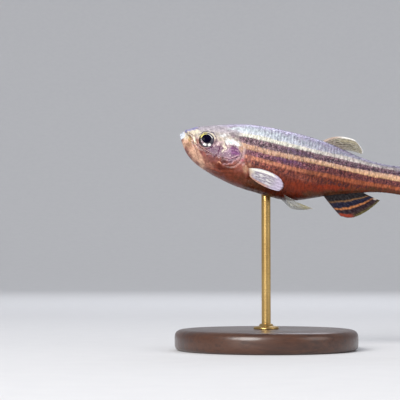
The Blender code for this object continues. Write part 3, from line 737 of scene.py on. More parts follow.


# lines of painted highlights on the gill cover and the cheek
COVER_HIGHLIGHT = ((6.75, -0.45), (7.3, -0.46), (7.9, -0.50), (8.35, -0.80))
COVER_MINT_HIGHLIGHT = ((7.0, -0.42), (7.7, -0.50))
CHEEK_HIGHLIGHT = ((5.22, -1.48), (5.62, -1.12), (6.02, -0.82), (6.4, -0.62))
COVER_ZIGZAG_HIGHLIGHT = ((6.38, -0.60), (6.42, -1.15), (6.85, -1.62), (6.50, -2.05))
COVER_FOLD = ((7.2, -2.98), (8.0, -2.78), (8.7, -2.25))
COVER_HEM = ((6.9, -3.78), (7.95, -3.57), (8.85, -2.85), (9.15, -2.4))
# the line along the underside of the rear body, where painted shade is laid
KEEL_SHADE_LINE = ((19.0, -5.3), (22.0, -4.4), (25.0, -3.3), (28.5, -2.4), (33.0, -2.05))
STROKES = (
    Stroke("mouth_shadow", "umber", MOUTH_LINE, 0.08, 0.9, 0.4),
    Stroke("jaw_bar", "cream", JAW_BAR, 0.24, 0.6, 0.9),
    # painted shade along the crease of the lower jaw's fold
    Stroke("jaw_fold", "umber", JAW_EDGE, 0.10, 0.9, 0.45),
    Stroke("socket_dark", "dusk", eye_arc(1.38, 30, 150), 0.17, 0.9, 0.9),
    Stroke("socket_cream", "cream", eye_arc(1.24, 20, 165), 0.11, 0.9, 0.7),
    Stroke("socket_yellow", "lemon", eye_arc(1.22, 95, 165), 0.10, 0.9, 0.7),
    # the next four strokes are painted highlights: white and mint on the gill cover, pale on the cheek
    Stroke("cover_light", "silver", COVER_HIGHLIGHT, 0.50, 0.8, 1.0),
    Stroke("cover_mint", "mint", COVER_MINT_HIGHLIGHT, 0.15, 0.9, 0.7),
    Stroke("cheek_light", "blush", CHEEK_HIGHLIGHT, 0.22, 0.9, 0.75),
    Stroke("cover_zigzag", "cream", COVER_ZIGZAG_HIGHLIGHT, 0.22, 0.9, 0.85),
    Stroke("cover_fold", "rose", COVER_FOLD, 0.10, 0.9, 0.45),
    Stroke("cover_hem", "rose", COVER_HEM, 0.12, 0.9, 0.5),
    # painted shade along the underside of the rear body
    Stroke("keel", "bark", KEEL_SHADE_LINE, 0.48, 0.9, 0.75),
)
print(len(STROKES), "strokes of the airbrush")


# %% Laying the paint
HEAD_GROUNDS = {
    0.0: "slate", 0.18: "lilac", 0.32: "dove", 0.44: "oat", 0.56: "veil", 0.66: "chestnut", 0.92: "umber",
}


def mixed(base, colour, share):
    """The base with a share of another colour in it."""
    return base + (np.array(tone(*colour)[:3]) - base) * share[..., None]


def lay(paint, cover, colour, mask):
    """Lays one coat over what is there, and says how far the paint now hides the stripes."""
    total = cover + (1 - cover) * mask
    return mixed(paint, colour, mask / np.maximum(total, 1e-6)), total


def flecks(x, z, size, seed):
    """Soft random flecks from 0 to 1, about size across, the same on every run."""
    chance = np.random.default_rng(seed).random((64, 64))
    i, j = np.floor(x / size).astype(int), np.floor(z / size).astype(int)
    a, b = smooth(x / size - i), smooth(z / size - j)
    low = chance[i % 64, j % 64] * (1 - a) + chance[(i + 1) % 64, j % 64] * a
    top = chance[i % 64, (j + 1) % 64] * (1 - a) + chance[(i + 1) % 64, (j + 1) % 64] * a
    return low * (1 - b) + top * b


def ground_paint(x, share):
    """The head's ground colour, from crown (0) to throat (1), and how far it hides the stripes."""
    light = np.array([tone(*PAINTS[paint])[:3] for paint in HEAD_GROUNDS.values()])
    paint = np.stack([np.interp(share, list(HEAD_GROUNDS), light[:, i]) for i in range(3)], -1)
    ends = 8.2 + 0.5 * bump(share - 0.355, 0.03)
    ends = ends + 1.4 * after(share, 0.40, 0.10) + 0.8 * after(share, 0.60, 0.1)
    fade = 0.9 + 1.0 * before(share, 0.36, 0.08)
    return paint, 1 - smooth((x - ends) / fade + 0.5)


def spot_mask(spot, x, z, ragged):
    """How much of a spot's paint lands at each point."""
    tilt = np.radians(spot.tilt)
    ahead, above = x - spot.x, z - spot.z
    across = (ahead * np.cos(tilt) - above * np.sin(tilt)) / spot.wide
    over = (ahead * np.sin(tilt) + above * np.cos(tilt)) / spot.high
    return smooth((1 - np.hypot(across, over) + 0.55 * ragged) / spot.soft) * spot.strength


def stroke_mask(stroke, x, z, ragged):
    """How much of a stroke's paint lands at each point."""
    away = from_line(x, z, stroke.line)[0]
    return smooth((1 - away / stroke.width + 1.4 * ragged) / stroke.soft) * stroke.strength


def head_paint(x, z, share):
    """The head's colour and how far it covers the stripes, at points of a flank."""
    paint, cover = ground_paint(x, share)
    wander_x = 0.13 * np.sin(3.1 * z + 1.3 * x) + 0.08 * np.sin(7.3 * x + 5.1 * z + 1)
    wander_z = 0.13 * np.sin(2.7 * x - 1.9 * z) + 0.08 * np.sin(6.1 * z + 8.3 * x)
    ragged = 0.6 * flecks(x, z, 0.45, 5) + 0.4 * flecks(x, z, 0.21, 6) - 0.5
    for spot in HEAD_COATS + FLANK_COATS:
        mask = spot_mask(spot, x + wander_x, z + wander_z, ragged)
        paint, cover = lay(paint, cover, PAINTS[spot.paint], mask)
    for stroke in STROKES:
        mask = stroke_mask(stroke, x + 0.5 * wander_x, z + 0.5 * wander_z, ragged)
        paint, cover = lay(paint, cover, PAINTS[stroke.paint], mask)
    shining = smooth(1.25 - np.hypot((x - 7.0) / 2.6, (z + 1.2) / 2.3))
    dark_flecks = 0.45 * shining * after(flecks(x, z, 0.17, 7), 0.62, 0.2)
    # the pale flecks are painted glints, small highlights laid into the colour
    painted_glints = 0.38 * shining * after(flecks(x, z, 0.15, 8), 0.66, 0.16)
    # painted shade: chestnut laid along the groove of the gill slit
    slit = 0.35 * bump(from_rim(x, z), 0.12) * gill_slit(x, z)
    for name, mask in (("plum", dark_flecks), ("blush", painted_glints), ("chestnut", slit)):
        paint, cover = lay(paint, cover, PAINTS[name], mask)
    return np.concatenate([paint, cover[..., None]], -1)


print("the head is painted from its", len(HEAD_GROUNDS), "grounds up")

# %% [markdown]
# ## The finish of skin and scales
#
# Fish skin is clear and wet. Under it lie cells of dark pigment in dots, cells of yellow, and
# plates of guanine that shine like foil. The finish reads the stripe number from the mesh, breaks
# its edges up with noise, and looks the colour up in two ramps, one for the shoulder and one for
# the tail. A comb of short streaks runs above the cream stripe, dots of pigment darken the dark
# ones, and upright streaks give the scales their light and shade, while their fine rings are
# pressed in as relief. A share of metal gives the silver, and a clear coat gives the wet gloss. A
# painted texture would need a picture file; noise gives finer detail at every distance.

# %% Bands of the stripes
Band = namedtuple("Band", "name start end shoulder tail")
BANDS = (
    Band("ridge", 0.0, 0.5, ("slate", "lilac"), ("dusk", "steel")),
    Band("shine", 0.82, 0.94, ("ice", "pearl"), ("haze", "haze")),
    Band("cream", 1.1, 1.9, ("ivory", "ivory"), ("bone", "bone")),
    Band("first dark", 2.1, 2.9, ("veil", "veil"), ("veil", "smoke")),
    Band("gold", 3.1, 3.9, ("peach", "sand"), ("peach", "gold")),
    Band("second dark", 4.1, 4.9, ("mauve", "mauve"), ("umber", "umber")),
    Band("rose", 5.1, 5.8, ("terracotta", "terracotta"), ("brick", "brick")),
    Band("third dark", 6.1, 6.9, ("chestnut", "chestnut"), ("rust", "rust")),
    # the belly band is partly the belly's own colour, partly painted shade under the body and a painted
    # warm reflection
    Band("belly", 7.1, 8.0, ("rust", "oxblood"), ("ember", "oxblood")),
)
print(len(BANDS), "bands from back to belly")


# %% Stripes in the finish
COOL_FOIL, WARM_FOIL, GLINT = tone(166, 194, 206), tone(206, 174, 200), tone(246, 250, 248)
SCALE_EDGE = tone(70, 50, 60)


def stripe_ramp(f, value, where):
    """The bands' colours at one end of the fish, looked up by the stripe number."""
    stops = [stop for band in BANDS for stop in zip((band.start, band.end), getattr(band, where))]
    return f.ramp(value, [(place, tone(*PAINTS[paint])) for place, paint in stops], spread=8.0)


def striped(f, place):
    """Bands with ragged edges, and the comb of short upright streaks above the cream one."""
    ragged = f.noise(place, 3.4, 4.0, 0.65)
    stripe = f.plus(f.mark("stripe"), f.times(f.math("SUBTRACT", ragged, 0.5), 0.5))
    value = f.times(f.plus(stripe, 1.0), 0.125)
    along = f.mark("along")
    to_tail = f.span(along, 11.0, 24.0)
    stripes = f.mix(to_tail, stripe_ramp(f, value, "shoulder"), stripe_ramp(f, value, "tail"))
    comb = f.math("SINE", f.plus(f.times(along, 13.6), f.times(ragged, 7.0)))
    above_cream = f.times(f.span(stripe, -0.55, -0.30), f.span(stripe, 0.05, -0.10))
    mid_body = f.times(f.span(along, 10.0, 13.0), f.span(along, 27.0, 23.0))
    teeth = f.times(f.span(comb, 0.0, 0.8, 0.0, 0.5), f.times(above_cream, mid_body))
    return f.mix(teeth, stripes, tone(*PAINTS["steel"]))


def cloudiness(f, place, bare, mottle):
    """How light each spot is: upright streaks on the scales, clouds and fine grain elsewhere."""
    upright = f.drawn(place, (2.7, 0.8, 1.0))
    streaks = f.span(f.noise(upright, 1.3), 0.34, 0.66, -0.25, 0.25)
    streaks = f.times(streaks, f.math("SUBTRACT", 1.0, bare))
    streaks = f.times(streaks, f.plus(1.0, f.times(f.mark("pigment"), 0.9)))
    clouds = f.times(f.span(mottle, 0.36, 0.64, -0.22, 0.22), f.plus(f.times(bare, 0.8), 0.2))
    plates = f.span(f.noise(place, 6.5, 3.0, 0.7), 0.36, 0.64, -0.20, 0.22)
    plates = f.times(plates, f.span(bare, 0.0, 1.0, 0.45, 1.0))
    own_shade = f.plus(f.mark("shade"), 1.0)
    return f.plus(f.plus(streaks, clouds), f.plus(own_shade, plates))


def foiled(f, place, colour):
    """Plates of guanine under the skin: a cool and a warm foil, and small bright glints."""
    silver = f.mark("silver")
    foil = f.mix(f.span(f.noise(place, 1.1), 0.38, 0.62), COOL_FOIL, WARM_FOIL)
    colour = f.mix(f.times(silver, 0.55), colour, foil, "SOFT_LIGHT")
    glint = f.span(f.noise(place, 4.4, 2.0, 0.6), 0.56, 0.68)
    glint = f.times(glint, f.span(silver, 0.10, 0.34, 0.0, 0.24))
    return f.mix(glint, colour, GLINT)


def dotted(f, place, colour):
    """Dark cells in dots over the dark stripes, and the darker rear edge of each scale."""
    stretched = f.drawn(place, (1.25, 0.8, 1.0))
    dots = f.add("TexVoronoi", {"Vector": stretched, "Scale": 6.4, "Randomness": 1.0}).outputs[0]
    crowding = f.span(f.noise(place, 2.6, 3.0), 0.34, 0.66, 0.14, -0.16)
    cells = f.span(f.plus(dots, crowding), 0.60, 0.36)
    cells = f.times(cells, f.mark("pigment"), clamp=True)
    colour = f.mix(f.times(cells, 0.80), colour, tone(*PAINTS["ink"]))
    return f.mix(f.times(f.mark("edge"), 0.30), colour, SCALE_EDGE, "MULTIPLY")


print("stripes, clouds, foil and dots ready")


# %% The wet finish
def fish_finish(name, gloss=0.34, relief_depth=1.0):
    """Skin, scale or bone of the fish, from the marks on the mesh."""
    f = Finish(name)
    place, bare = f.mark("place", "Vector"), f.mark("tint", "Alpha")
    mottle = f.noise(place, 1.9, 5.0, 0.62)
    colour = f.mix(bare, striped(f, place), f.mark("tint", "Color"))
    light = cloudiness(f, place, bare, mottle)
    colour = f.add("VectorMath", {0: colour, "Scale": light}, operation="SCALE").outputs[0]
    colour = dotted(f, place, foiled(f, place, colour))
    f.surface({"Base Color": colour, "Metallic": f.mark("silver"), "Specular IOR Level": 0.12})
    f.surface({"Roughness": f.span(mottle, 0.3, 0.7, gloss - 0.06, gloss + 0.12)})
    f.surface({"Coat Weight": 0.18, "Coat Roughness": 0.10})
    rings = f.math("SINE", f.times(f.mark("ring"), 105.0))
    height = f.plus(f.times(f.noise(place, 9.0, 3.0), 0.8), f.times(rings, 0.035))
    f.dent(height, 0.30 * relief_depth, 0.00005)
    return f.material


SKIN = fish_finish("wet_skin")
print("finish", SKIN.name, "with", len(SKIN.node_tree.nodes), "nodes")

# %% [markdown]
# ## One skin
#
# Head, jaw, trunk and tail are separate solids, but on the living fish no seam parts them, so one
# skin covers them all. It is a grid of rings, closer together on the head where the detail is,
# pushed out or in by the relief. Over the trunk it lies nearly a tenth of a millimetre inside
# the solids, to leave room for the scales. At the tail it closes to an upright edge, where the
# tail fin grows out of it.

# %% Marks shared by skin and scales
TABLE_STEP = 0.1
MEASURED = np.linspace(0, 34.2, 343)
ROUND = np.linspace(-0.9, np.pi + 0.9, 401)
sections = form(MEASURED[:, None], ROUND[None])
steps_round = np.linalg.norm(np.diff(sections, axis=1), axis=-1)
ARC = np.concatenate([np.zeros((len(MEASURED), 1)), np.cumsum(steps_round, axis=1)], 1)
ARC -= np.array([np.interp(np.pi / 2, ROUND, row) for row in ARC])[:, None]
DARK_STRIPES = (1.5, 3.5, 5.5)
MIRROR_APART = 7.0  # keeps the noise of the two flanks from being each other's mirror image


def read_grid(table, x, columns, lowest, highest):
    """Reads a table of the body, by x and by an evenly spaced second value."""
    i = np.clip(x / TABLE_STEP, 0, len(MEASURED) - 1.001)
    j = np.clip((columns - lowest) / (highest - lowest) * (table.shape[1] - 1), 0, table.shape[1] - 1.001)
    a, b = i.astype(int), j.astype(int)
    u, v = i - a, j - b
    top = table[a, b] * (1 - v) + table[a, b + 1] * v
    low = table[a + 1, b] * (1 - v) + table[a + 1, b + 1] * v
    return top * (1 - u) + low * u


def arc_at(x, turn):
    """Millimetres round the body from its left side, at x and at a turn."""
    return read_grid(ARC, x, turn, ROUND[0], ROUND[-1])


def skin_marks(x, turn):
    """All that the finish reads at a point of the body."""
    x, turn = np.asarray(x, float).ravel(), np.asarray(turn, float).ravel()
    folded = np.abs(np.mod(turn + np.pi, 2 * np.pi) - np.pi)
    share = folded / np.pi
    z = form(x, folded)[:, 2]
    stripe = stripe_mark(x, share)
    tint = head_paint(x, z, share)
    painted = tint[:, 3]
    dark = np.maximum.reduce([bump(stripe - middle, 0.62) for middle in DARK_STRIPES])
    jaw_freckles = 0.35 * bump(np.hypot((x - 1.6) / 1.2, z + 1.3), 0.7)
    pale = after(tint[:, :3].mean(axis=1), 0.5, 0.35)
    flank_silver, head_silver = 0.28 * before(share, 0.62, 0.2) + 0.08, 0.04 + 0.26 * pale
    return {
        "stripe": stripe,
        "along": x,
        "tint": tint,
        "place": np.stack([x, arc_at(x, folded), np.sign(np.sin(turn)) * MIRROR_APART], -1),
        "pigment": dark * (1 - painted) + jaw_freckles * painted,
        "silver": flank_silver * (1 - painted) + head_silver * painted,
    }


girth_there = arc_at(np.full(2, BREAST_X), np.array([0, np.pi]))
print("round the breast it is", round(float(np.ptp(girth_there)), 1), "mm from back to belly")

# %% Rings of the skin
AROUND = 224
ON_HEAD = np.linspace(0.018, 0.56, 246)
ON_TRUNK = np.linspace(0.56, 1.0, 146)[1:]
PAST_TAIL = [1.0015, 1.003, 1.0045]
SCALE_ROOM = 0.09
FLAT_LENGTH = 35  # the length of the body on the flat map of skin and scales
ring_x = np.concatenate([ON_HEAD, ON_TRUNK, PAST_TAIL]) ** 2 * BODY_LENGTH
turns = np.linspace(0, 2 * np.pi, AROUND, endpoint=False)
X, TURN = np.meshgrid(ring_x, turns, indexing="ij")


def outwards(a, b, points, middle_z):
    """Directions square to both a and b that point away from the body's middle line."""
    out = unit(np.cross(a, b))
    from_middle = (points - np.array([0, 0, middle_z])) * np.array([0, 1, 1])
    return out * np.sign(np.sum(out * from_middle, -1))[..., None]


body = form(X, TURN, 0.0)
tangent_x = np.gradient(body, axis=0) / np.gradient(ring_x)[:, None, None]
tangent_t = (np.roll(body, -1, axis=1) - np.roll(body, 1, axis=1)) / 2
outward = outwards(tangent_t, tangent_x, body, -0.5)
outward[:2] = unit(np.array([-1.0, 0, 0.1]))
lift = relief(X, body[..., 2], np.abs(body[..., 1])) - SCALE_ROOM * after(X, 9.5, 1.5)
skin_points = body + outward * lift[..., None]
skin_points[..., 1] *= np.sqrt(np.clip(1 - (np.clip(X - 32.5, 0, None) / 1.42) ** 2, 0.0004, 1))
print(len(ring_x), "rings of", AROUND, "points")

# %% The skin itself
tip = skin_points[0].mean(axis=0) + np.array([-0.01, 0, 0])
end = skin_points[-1].mean(axis=0)
all_points = np.concatenate([skin_points.reshape(-1, 3), [tip, end]])
count = len(ring_x) * AROUND
faces = [*grid_faces(len(ring_x), AROUND, wrap=True), *fan(count, 0, AROUND, flip=True)]
faces += fan(count + 1, count - AROUND, AROUND)
marks = skin_marks(np.append(X.ravel(), (0.01, 33.8)), np.append(TURN.ravel(), (1.0, 1.0)))
flat_x, flat_turn = np.append(X.ravel(), (0.0, 33.9)), np.append(TURN.ravel(), (0.0, 0.0))
unwrap = np.stack([flat_x / FLAT_LENGTH, flat_turn / (2 * np.pi)], -1)
flesh = ("head", "lower_jaw", "trunk", "tail")
piece("skin", posed(all_points), faces, SKIN, marks, unwrap, flesh)

# %% [markdown]
# ## Gill covers
#
# The gill cover is a thin plate of bone with a free edge behind, and water leaves through the
# slit under that edge. It grows out of the cheek at the front. It could be a bulge in the skin,
# but then nothing would cast the thin dark line behind it, so it is a plate of its own: sunk in
# the skin at the front, crowned in the middle and standing clear at the rear, with the join of
# its two bones as a shallow furrow.

# %% Gill covers, left and right
CORNER_POWER = 2 / COVER_SQUARENESS


def cover_grid():
    """Places in the gill cover: the share of the way to its edge, x and z, ring by ring."""
    reach = np.linspace(0, 1, 30)[1:]
    angles = np.linspace(0, 2 * np.pi, 128, endpoint=False)
    out, angle = np.meshgrid(reach, angles, indexing="ij")
    ahead, up = np.cos(angle), np.sin(angle)
    across = out * np.where(ahead > 0, COVER_REAR, COVER_FRONT)
    over = out * np.where(up > 0, COVER_TOP, COVER_BOTTOM)
    x = COVER_X + across * np.sign(ahead) * np.abs(ahead) ** CORNER_POWER
    z = COVER_Z + over * np.sign(up) * np.abs(up) ** CORNER_POWER
    return out, x, z


def turn_of(x, z):
    """The turn round the body at which the flank has height z."""
    back, belly, _, widest, squareness = girth(x)
    up = np.clip((z - widest) / np.where(z > widest, back - widest, widest - belly), -1, 1)
    return np.arccos(np.sign(up) * np.abs(up) ** (squareness / 2))


def cover_lift(out, x, z):
    """Sunk in the skin at the front, crowned and clear of it at the rear, with a furrow."""
    rising = after(x, 6.15, 0.55) * before(z, 0.35, 0.45)
    lift = -0.07 * (1 - rising) + 0.004 * rising + (0.045 + 0.035 * (1 - out**2)) * set_free(x, z)
    away = from_line(x, z, COVER_SEAM)[0]
    return lift - bump(away, 0.07) * 0.028 + bump(away - 0.17, 0.12) * 0.014


def cover_faces(rows, columns):
    """The faces of two layers of rings, closed in the middle of each and round the rim."""
    other = rows * columns
    rim = np.arange((rows - 1) * columns, other)
    following = np.roll(rim, -1)
    band = np.stack([rim, following, other + following, other + rim], -1)
    inner = grid_faces(rows, columns, wrap=True, start=other)[:, ::-1]
    middles = fan(2 * other, 0, columns, flip=True) + fan(2 * other + 1, other, columns)
    return [*grid_faces(rows, columns, wrap=True), *inner, *middles, *band]


def two_layers(values, middle):
    """A value for each point: the outer layer, the inner one and their two middles."""
    return np.concatenate([values.ravel(), values.ravel(), [middle, middle]])


def gill_cover(side):
    """One gill cover, as a thin closed plate that reads the skin's own markings."""
    out, x, z = cover_grid()
    lift = cover_lift(out, x, z)
    thick = 0.10 * np.sqrt(np.clip(1 - out**4, 0, 1)) + 0.004
    layers = [on_flank(x, z, height, side).reshape(-1, 3) for height in (lift, lift - thick)]
    middle = on_flank(COVER_X, COVER_Z, np.array([0.11, 0.0]), side)
    faces = cover_faces(*out.shape)
    if side < 0:
        faces = [f[::-1] for f in faces]
    all_x, all_z = two_layers(x, COVER_X), two_layers(z, COVER_Z)
    marks = skin_marks(all_x, turn_of(all_x, all_z))
    rosy = 0.2 * after(two_layers(out, 0), 0.93, 0.07) * (all_x > 8.2) * (all_z < -1.6)
    marks["tint"][:, :3] = mixed(marks["tint"][:, :3], PAINTS["rose"], rosy)
    points = posed(np.concatenate([*layers, middle]))
    name, node = f"gill_plate_{SIDES[side]}", f"gill_cover_{SIDES[side]}"
    return piece(name, points, faces, GILL, marks, None, (node,))


GILL = fish_finish("pearly_bone", gloss=0.26, relief_depth=0.6)
for side in SIDES:
    gill_cover(side)

# %% [markdown]
# ## Eyes
#
# A fish's eye has no lid. A clear lens shows as a black disc that swells out of a flat ring, the
# iris, which is lined with the same silver foil as the scales: bright below the pupil and above
# it, smoky in front and behind, with a touch of yellow. Each eye is turned on a lathe in code, a
# profile swept round the axis that points sideways, and the iris's colours are laid on by angle
# and by distance from the middle. One ball with a picture would have no step between the two.

# %% Colours of the iris
IrisCoat = namedtuple("IrisCoat", "name paint angle half soft inner outer")
IRIS_GROUND, RING_SOFT = (60, 52, 60), 0.05
IRIS_COATS = (
    IrisCoat("front_shadow", (52, 30, 28), 182, 38, 18, 0.60, 1.12),
    IrisCoat("violet_corner", (90, 50, 70), 226, 14, 18, 0.64, 0.98),
    IrisCoat("rear_shadow", (54, 48, 64), 2, 24, 18, 0.62, 1.06),
    IrisCoat("yellow_arc", (236, 222, 120), 137, 26, 18, 0.80, 1.16),
    IrisCoat("olive_top", (104, 96, 74), 88, 34, 18, 0.88, 1.20),
    IrisCoat("silver_top", (246, 244, 240), 73, 37, 18, 0.66, 0.84),
    IrisCoat("front_glint", (255, 252, 248), 257, 11, 9, 0.66, 1.00),
    IrisCoat("rear_glint", (255, 252, 248), 302, 10, 9, 0.66, 1.04),
    IrisCoat("cream_edge", (230, 220, 196), 40, 24, 18, 0.98, 1.16),
    IrisCoat("front_rim", (44, 28, 28), 180, 56, 18, 1.00, 1.30),
    IrisCoat("lower_rim", (88, 72, 74), -60, 70, 18, 1.06, 1.30),
)


def iris_paint(radius, angle):
    """The iris by distance from the middle and by angle: 0 to the rear, a quarter turn upwards."""
    colour = np.zeros((*radius.shape, 3)) + np.array(tone(*IRIS_GROUND)[:3])
    for coat in IRIS_COATS:
        off = np.abs(np.mod(np.degrees(angle) - coat.angle + 180, 360) - 180)
        sector = before(off, coat.half + coat.soft, coat.soft)
        ring = after(radius, coat.inner, RING_SOFT) * before(radius, coat.outer, RING_SOFT)
        colour = mixed(colour, coat.paint, sector * ring)
    return colour


print(len(IRIS_COATS), "coats on the iris")

# %% Profile of the eye
PUPIL = 0.65
PUPIL_OFF = np.array([-0.12, 0, 0.08])  # the lens looks a little forward and up
LENS_CROWN = EYE_DEPTH + 0.07
EYE_ANGLES = np.linspace(0, 2 * np.pi, 96, endpoint=False)
IRIS_RADII = (np.linspace(0.44, 0.66, 11), np.linspace(0.69, 1.00, 14), np.linspace(1.02, 1.179, 12))


def ball(radius):
    """How far the eyeball stands out at a distance from its middle."""
    return EYE_DEPTH * np.sqrt(1 - (radius / EYE_RADIUS) ** 2)


def swept(radii, heights, side):
    """A profile swept round the axis that points out of the side, as points, and by its parts."""
    radius, angle = np.meshgrid(radii, EYE_ANGLES, indexing="ij")
    height = np.repeat(heights[:, None], len(EYE_ANGLES), 1)
    across, over = radius * np.cos(angle), radius * np.sin(angle)
    local = np.stack([across, over, height], -1)
    return np.stack([across, side * height, over], -1), radius, angle, local


def iris_of(side, centre):
    """The iris: a shallow foil ring that dips towards the pupil's edge."""
    radii = np.concatenate(IRIS_RADII)
    dish = np.minimum(0.60 - 0.26 * (radii - 0.66), ball(radii) + 0.05)
    points, radius, angle, local = swept(radii, dish - 0.03 * bump(radii - 0.84, 0.12), side)
    tint = np.concatenate([iris_paint(radius, angle), np.ones((*radius.shape, 1))], -1).reshape(-1, 4)
    foil = 0.15 * before(np.max(tint[:, :3], -1), 0.6, 0.3)
    faces = grid_faces(*radius.shape, wrap=True)
    if side > 0:
        faces = faces[:, ::-1]
    marks = {"tint": tint, "place": local.reshape(-1, 3), "silver": foil}
    name = SIDES[side]
    return piece(f"iris_{name}", posed(centre + points), faces, IRIS, marks, None, (f"eye_{name}",))


def pupil_of(side, centre):
    """The lens: a dome that stands out of the iris, with its foot inside it."""
    radii = PUPIL * np.append(np.sin(np.linspace(0, np.pi / 2, 16))[1:], 1.0)
    foot = ball(PUPIL)
    heights = foot + (LENS_CROWN - foot) * np.sqrt(1 - (radii / PUPIL) ** 2 * 0.999)
    heights[-1] = foot - 0.22
    points, radius, _, _ = swept(radii, heights, side)
    middle = centre + PUPIL_OFF
    top = middle + np.array([0, side * LENS_CROWN, 0])
    all_points = np.concatenate([(middle + points).reshape(-1, 3), [top]])
    faces = [*grid_faces(*radius.shape, wrap=True), *fan(radius.size, 0, len(EYE_ANGLES), flip=True)]
    if side > 0:
        faces = [f[::-1] for f in faces]
    return piece(f"pupil_{SIDES[side]}", posed(all_points), faces, LENS_BLACK)


print("lens stands", round(LENS_CROWN - EYE_SUNK, 2), "mm out of the flank")


# %% Finishes of the eye, and both eyes
def iris_finish():
    """Foil with fine fibres, darker between them."""
    f = Finish("silver_iris")
    fibres = f.noise(f.mark("place", "Vector"), 5.0, 4.0, 0.65)
    between = f.span(fibres, 0.35, 0.65, 0.35, 0.0)
    colour = f.mix(between, f.mark("tint", "Color"), tone(40, 30, 40), "MULTIPLY")
    f.surface({"Base Color": colour, "Metallic": f.times(f.mark("silver"), 0.6)})
    f.surface({"Roughness": f.span(fibres, 0.3, 0.7, 0.22, 0.40)})
    f.surface({"Coat Weight": 0.3, "Coat Roughness": 0.05})
    f.dent(fibres, 0.4, 0.00004)
    return f.material


def lens_finish():
    """A wet black, with a painted bluish sheen towards its edge."""
    f = Finish("black_lens")
    # painted sheen: the colour grows bluer and lighter where the lens turns away from the view
    depth = f.add("LayerWeight", {"Blend": 0.25}).outputs["Facing"]
    f.surface({"Base Color": f.mix(depth, tone(8, 5, 22), tone(26, 22, 58)), "Roughness": 0.12})
    f.surface({"Specular IOR Level": 0.02, "Coat Weight": 0.02, "Coat Roughness": 0.03})
    return f.material


IRIS, LENS_BLACK = iris_finish(), lens_finish()
for side in SIDES:
    centre = on_flank(EYE_X, EYE_Z, -EYE_SUNK, side)
    iris_of(side, centre)
    pupil_of(side, centre)

# %% [markdown]
# ## Barbels
#
# Two pairs of feelers hang by the mouth: a short one at the snout and a long one at the corner
# of the jaw, trailing along the cheek. A curve object with a bevel would do, but its taper and
# its root are easier to hold in a mesh tube, so each is swept along the path of its solid, finer
# than it, with its root well inside the skin and faint rings along it.

# %% Barbels on both sides
Barbel = namedtuple("Barbel", "name x z length droop spread thick")
BARBELS = (
    Barbel("rostral", 1.20, 0.10, 1.2, 0.75, 0.05, 0.06),
    Barbel("maxillary", 2.20, -1.30, 3.4, 1.75, 0.10, 0.075),
)
TIP_RADIUS, FEELER_POINTS, FEELER_SIDES = 0.028, 48, 14
FEELER_ROOT, FEELER_TIP = (176, 140, 122), (158, 122, 112)


def tube_points(path, radii, sides):
    """Rings of points round a path."""
    ahead = unit(np.gradient(path, axis=0))
    across = unit(np.cross(ahead, np.array([0.0, 0.0, 1.0])))
    over = np.cross(across, ahead)
    k = np.linspace(0, 2 * np.pi, sides, endpoint=False)[None, :, None]
    return path[:, None] + (across[:, None] * np.cos(k) + over[:, None] * np.sin(k)) * radii[:, None, None]


def feeler_path(kind, side, t):
    """A curve that droops from its root in the skin and trails along the flank."""
    root = on_flank(kind.x, kind.z, 0.0, side)
    x = root[0] + kind.length * (0.25 * t + 0.75 * t * t)
    z = root[2] - kind.droop * (0.55 * t + 0.45 * t * t)
    risen = smooth(t * 4)
    clear = (GAP + 0.12) * risen + kind.spread * t - 0.12 * (1 - risen)
    return np.stack([x, side * (flank(x, z) + clear), z], -1)


def feeler(kind, side):
    """One barbel, thinner to its tip and faintly ringed."""
    t = np.linspace(0, 1, FEELER_POINTS)
    taper = kind.thick + (TIP_RADIUS - kind.thick) * t**0.7
    ringed = 1 + 0.05 * np.sin(t * kind.length * 40)
    radii = taper * ringed * np.sqrt(np.clip((1.001 - t) * 30, 0, 1))
    points = tube_points(feeler_path(kind, side, t), radii, FEELER_SIDES)
    along = np.repeat(t, FEELER_SIDES)
    root_tint = np.tile(tone(*FEELER_ROOT)[:3], (len(along), 1))
    tint = np.column_stack([mixed(root_tint, FEELER_TIP, smooth(along * 1.2)), np.ones(len(along))])
    marks = {"tint": tint, "place": points.reshape(-1, 3), "along": np.full(len(along), 2.0)}
    marks |= {"stripe": 0 * along, "silver": 0 * along, "pigment": 0.3 * (1 - along)}
    name = f"{kind.name}_{SIDES[side]}"
    faces = grid_faces(FEELER_POINTS, FEELER_SIDES, wrap=True)
    return piece(f"feeler_{name}", posed(points), faces, SKIN, marks, None, (f"barbel_{name}",))


for kind in BARBELS:
    for side in SIDES:
        feeler(kind, side)

# %% [markdown]
# ## Scales
#
# Behind the head the body is tiled with round, clear scales, about twenty-eight along the side,
# in rows that are offset like roof tiles. Each is rooted in the skin at its front and lies over
# the next with its rear edge. They could be scattered by a modifier, but the export wants real
# mesh, so every scale is written out as a thin closed plate, bent to the body, in one joined mesh
# for each side. Its points read the same marks as the skin, so the stripes run on across them.

# %% Where the scales are rooted
ARCS = np.linspace(-8.5, 8.5, 681)
TURN_AT = np.array([np.interp(ARCS, row, ROUND) for row in ARC])
SCALE_PITCH, ROW_PITCH = 0.93, 1.04
FIRST_COLUMN, LAST_COLUMN, ROWS_BESIDE = 7.4, 33.1, 9


def turn_at(x, arc):
    """The turn at x that lies so many millimetres round the body from its left side."""
    return read_grid(TURN_AT, x, arc, ARCS[0], ARCS[-1])


def scale_columns():
    """Upright columns of scales, every second one half a row lower, and smaller to the tail."""
    x, offset = FIRST_COLUMN, 0.0
    spots = []
    while x < LAST_COLUMN:
        shrink = 1 - 0.34 * after(x, 19, 13)
        for row in range(-ROWS_BESIDE, ROWS_BESIDE + 1):
            spots.append((x, (row + offset) * ROW_PITCH * shrink, shrink))
        x += SCALE_PITCH * shrink * 0.5
        offset = 0.5 - offset
    return np.array(spots)


